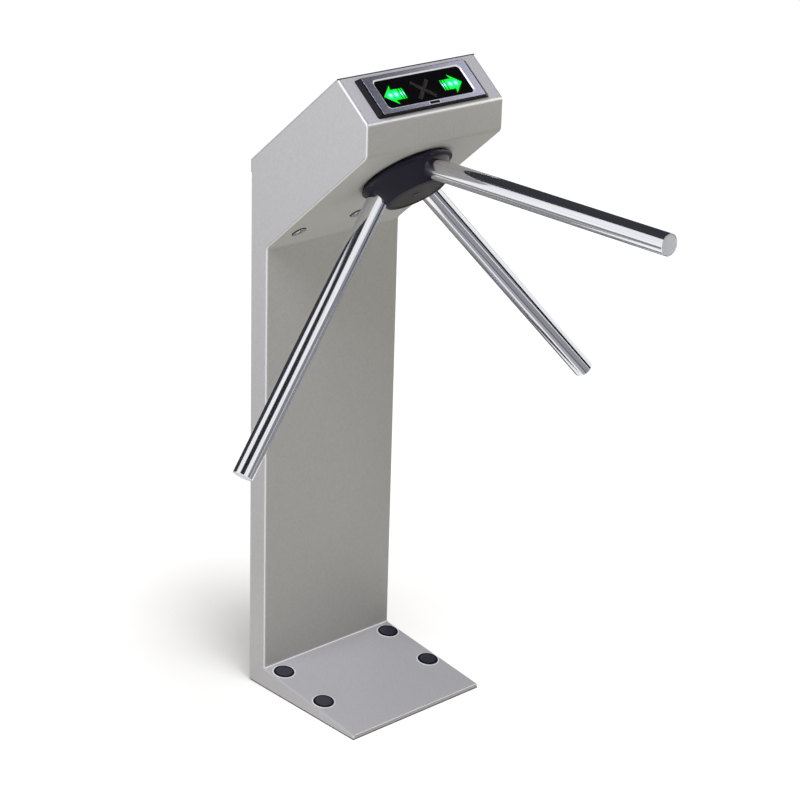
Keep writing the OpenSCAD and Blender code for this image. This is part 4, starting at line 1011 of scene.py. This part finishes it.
def makeLocks():
    spots = housing["lockSpots"]
    heads = spread(turnOutline(locks["head"], 64), "lockHeads",
                   [stepped(undersideFrame, *spot) for spot in spots])
    dress(heads, "lockChrome", "housing", "lock_chrome", "lock_bodies")
    # the outer rim of each head gets the dull rubber finish: painted shade for the gap round the
    # head
    paintBeyond(heads, "rubber", undersideFrame, spots, locks["gapShadeFrom"])


makeCaps()
makeLocks()
print("caps and locks done")

# CAD nodes whose shape is right get a finish of their own
nodeFinishes = {
    "basePlate": ["base_plate"],
    "steelPlate": ["lock_wheel", "pawl_left", "pawl_right"],
    "blackPlastic": ["damper_body", "board_parts", "release_switch", "encoder_disc"],
    "rubber": ["cable_grommet"],
    "board": ["indicator_board", "sensor_board", "control_board", "terminal_blocks"],
    "zinc": ["mechanism_plate", "plate_spacers", "carrier_screws", "solenoid_brackets",
             "damper_bracket", "lock_nuts", "hub_bolts", "arm_screws", "shaft_nut"],
    "castAluminium": ["bearing_carrier"],
    "polishedSteel": ["bearing_outer_rings", "bearing_balls", "pawl_posts", "main_shaft",
                      "bearing_inner_rings", "plunger_left", "plunger_right"],
    "coil": ["solenoid_left", "solenoid_right"],
    "brass": ["board_standoffs", "drive_gear", "damper_pinion"],
    "lockChrome": ["cover_lock_barrel", "release_lock_barrel"],
}
for finishName, nodes in nodeFinishes.items():
    for nodeName in nodes:
        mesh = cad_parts[nodeName].data
        mesh.materials.clear()
        mesh.materials.append(finishes[finishName])
print("CAD nodes dressed")


def makeSprings():
    for end, way in (("right", 1), ("left", -1)):
        piece = copyOf(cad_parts["spring_" + end])
        piece.name = piece.data.name = end + "Spring"
        dress(piece, "polishedSteel", "housing", "polished_steel", "spring_" + end)
        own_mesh(piece)


makeSprings()
print("springs done")

# Floor, light, reflection cards and world
studio = {
    "floorSize": 30,
    "floor": "fafafa",
    "floorBounce": "d2cfca",
    "floorWhite": 0.38,
    "ambient": "efebe5",
    "ambientStrength": 0.25,
    "key": {"place": (-2.1, -0.4, 3.95), "size": 2.0, "power": 155, "tone": "ebecff"},
    "fill": {"place": (1.6, -3.2, 1.8), "size": 2.5, "power": 3, "tone": "fff0dc"},
    # lights the floor alone, so the post's shadow falls softly to its left
    "floorSun": {"turn": (19, -2, 0), "strength": 3.3, "spread": 24},
    # lamps seen only as glints on the bends
    "glints": {
        "edgeGlint": [(-2.2, -2.0, 0.42), 0.7, 18, "fff8ee"],
        "bendGlint": [(1.0, -0.55, 1.15), 0.5, 16, "fff6e6"],
        "hubGlint": [(1.2, -0.4, 1.1), 0.5, 7, "fff6e6"],
        "frameGlint": [(2.65, -0.4, 3.55), 0.7, 4.4, "f0f0fa", (2.65, -0.4, 0)],
    },
    # cards seen only in reflections: [centre, turn, size, tone]
    "cards": {
        "darkBackWall": [(1.5, 2.2, 1.8), (90, 0, 0), (7.0, 3.6), "3a3a40"],
        "darkRoof": [(0.65, 0.35, 3.6), (0, 0, 0), (5.3, 3.7), "3a3a40"],
        "darkRoofLeft": [(-2.075, -1.975, 3.6), (0, 0, 0), (1.55, 3.25), "2c2c32"],
        "greyFrontWall": [(1.7, -3.0, 0.75), (90, 0, 0), (2.8, 1.5), "8c8c92"],
        "darkFrontPost": [(3.9, -2.95, 0.9), (90, 0, 0), (2.2, 1.8), "101013"],
        "darkFarFloor": [(3.3, -2.5, 0.005), (0, 0, 0), (1.4, 1.0), "202024"],
        "paleNearFloor": [(0.1, -0.48, 0.005), (0, 0, 0), (0.5, 0.34), "b0b0b4"],
        "greyFrontFloor": [(1.4, -1.55, 0.003), (0, 0, 0), (3.2, 1.6), "98989c"],
        "darkFrontStrip": [(1.4, -0.7, 0.004), (0, 0, 0), (3.2, 0.22), "66666a"],
        "greyRightFloor": [(1.3, -0.2, 0.003), (0, 0, 0), (1.5, 0.7), "88888c"],
        "greyBackFloor": [(0.95, 0.65, 0.003), (0, 0, 0), (2.0, 0.9), "7a7a7e"],
        "darkFootSide": [(0.2, 0.0, 0.004), (0, 0, 0), (0.11, 0.36), "3a3a3c"],
        "greyLeftFloor": [(-1.1, 0.95, 0.003), (0, 0, 0), (1.8, 1.2), "8c8c90"],
    },
}


# One surface to the camera, in mirrors and through glass, and a plain one to all else
def splitSeen(tree, plain, shown, socket):
    ray = addNode(tree, "LightPath")
    seen = ray.outputs["Is Camera Ray"]
    for way in ("Is Glossy Ray", "Is Transmission Ray"):
        seen = addNode(tree, "Math", feeds={0: seen, 1: ray.outputs[way]},
                       operation="MAXIMUM").outputs["Value"]
    mixed = addNode(tree, "MixShader", feeds={0: seen, 1: plain.outputs[0],
                                              2: shown.outputs[0]})
    addNode(tree, socket, feeds={"Surface": mixed.outputs["Shader"]})


def bareTree(owner):
    owner.use_nodes = True
    owner.node_tree.nodes.clear()
    return owner.node_tree


def makeFloor():
    clearPick()
    bpy.ops.mesh.primitive_plane_add(size=studio["floorSize"])
    floor = bpy.context.object
    floor.name = "floor"
    finish = bpy.data.materials.new("paleFloor")
    tree = bareTree(finish)
    plain = addNode(tree, "BsdfDiffuse", {"Color": toLinear(studio["floorBounce"])})
    pale = addNode(tree, "BsdfDiffuse", {"Color": toLinear(studio["floor"])})
    white = addNode(tree, "Emission", {"Color": (1, 1, 1, 1), "Strength": 1.0})
    shown = addNode(tree, "MixShader", {0: studio["floorWhite"]},
                    {1: pale.outputs["BSDF"], 2: white.outputs["Emission"]})
    splitSeen(tree, plain, shown, "OutputMaterial")
    floor.data.materials.append(finish)
    return floor


def makeWorld():
    world = bpy.data.worlds.new("paleStudio")
    bpy.context.scene.world = world
    tree = bareTree(world)
    ambient = addNode(tree, "Background", {"Color": toLinear(studio["ambient"]),
                                           "Strength": studio["ambientStrength"]})
    white = addNode(tree, "Background", {"Color": (1, 1, 1, 1), "Strength": 1.0})
    splitSeen(tree, ambient, white, "OutputWorld")


def softLamp(name, place, size, power, tone, aim=(0, 0, 0.6)):
    clearPick()
    bpy.ops.object.light_add(type="AREA", location=place)
    lamp = bpy.context.object
    lamp.name = name
    lamp.data.size, lamp.data.energy = size, power
    lamp.data.color = toLinear(tone)[:3]
    lamp.rotation_euler = (Vector(aim) - Vector(place)).to_track_quat("-Z", "Y").to_euler()
    return lamp


# Lets a lamp light only the given pieces, or all but these
def lightOnly(lamp, pieces, state="INCLUDE"):
    group = bpy.data.collections.new(lamp.name + "Pieces")
    for piece in pieces:
        group.objects.link(piece)
    for entry in group.collection_objects:
        entry.light_linking.link_state = state
    lamp.light_linking.receiver_collection = group


def makeCard(name, place, turn, size, tone):
    clearPick()
    bpy.ops.mesh.primitive_plane_add(size=1, location=place,
                                     rotation=[math.radians(a) for a in turn])
    card = bpy.context.object
    card.name = name
    card.scale = (size[0], size[1], 1)
    finish = bpy.data.materials.new(name)
    tree = bareTree(finish)
    flat = addNode(tree, "Emission", {"Color": toLinear(tone), "Strength": 1.0})
    addNode(tree, "OutputMaterial", feeds={"Surface": flat.outputs["Emission"]})
    card.data.materials.append(finish)
    card.visible_camera = card.visible_diffuse = card.visible_shadow = False


floor = makeFloor()
makeWorld()
mirrors = [bpy.data.objects[name] for name in ("armFront", "armRight", "armLeft",
                                               "displayGlass")]
dullPieces = [bpy.data.objects[name] for name in ("hub", "hubDisc", "displayFrame")]
glintPieces = {"hubGlint": dullPieces[:1], "frameGlint": dullPieces[2:]}
for lampName in ("key", "fill"):
    lightOnly(softLamp(lampName + "Lamp", **studio[lampName]), mirrors + [floor], "EXCLUDE")
for glintName, glintValues in studio["glints"].items():
    glint = softLamp(glintName, *glintValues)
    glint.visible_diffuse = False
    if glintName in glintPieces:
        lightOnly(glint, glintPieces[glintName])
    else:
        lightOnly(glint, mirrors + dullPieces + [floor], "EXCLUDE")
clearPick()
sunValues = studio["floorSun"]
bpy.ops.object.light_add(type="SUN", rotation=[math.radians(a) for a in sunValues["turn"]])
sun = bpy.context.object
sun.name = "floorSun"
sun.data.energy, sun.data.angle = sunValues["strength"], math.radians(sunValues["spread"])
lightOnly(sun, [floor])
for cardName, (place, turn, size, tone) in studio["cards"].items():
    makeCard(cardName, place, turn, size, tone)
bpy.context.scene.view_settings.view_transform = "Standard"
print("floor and light set")
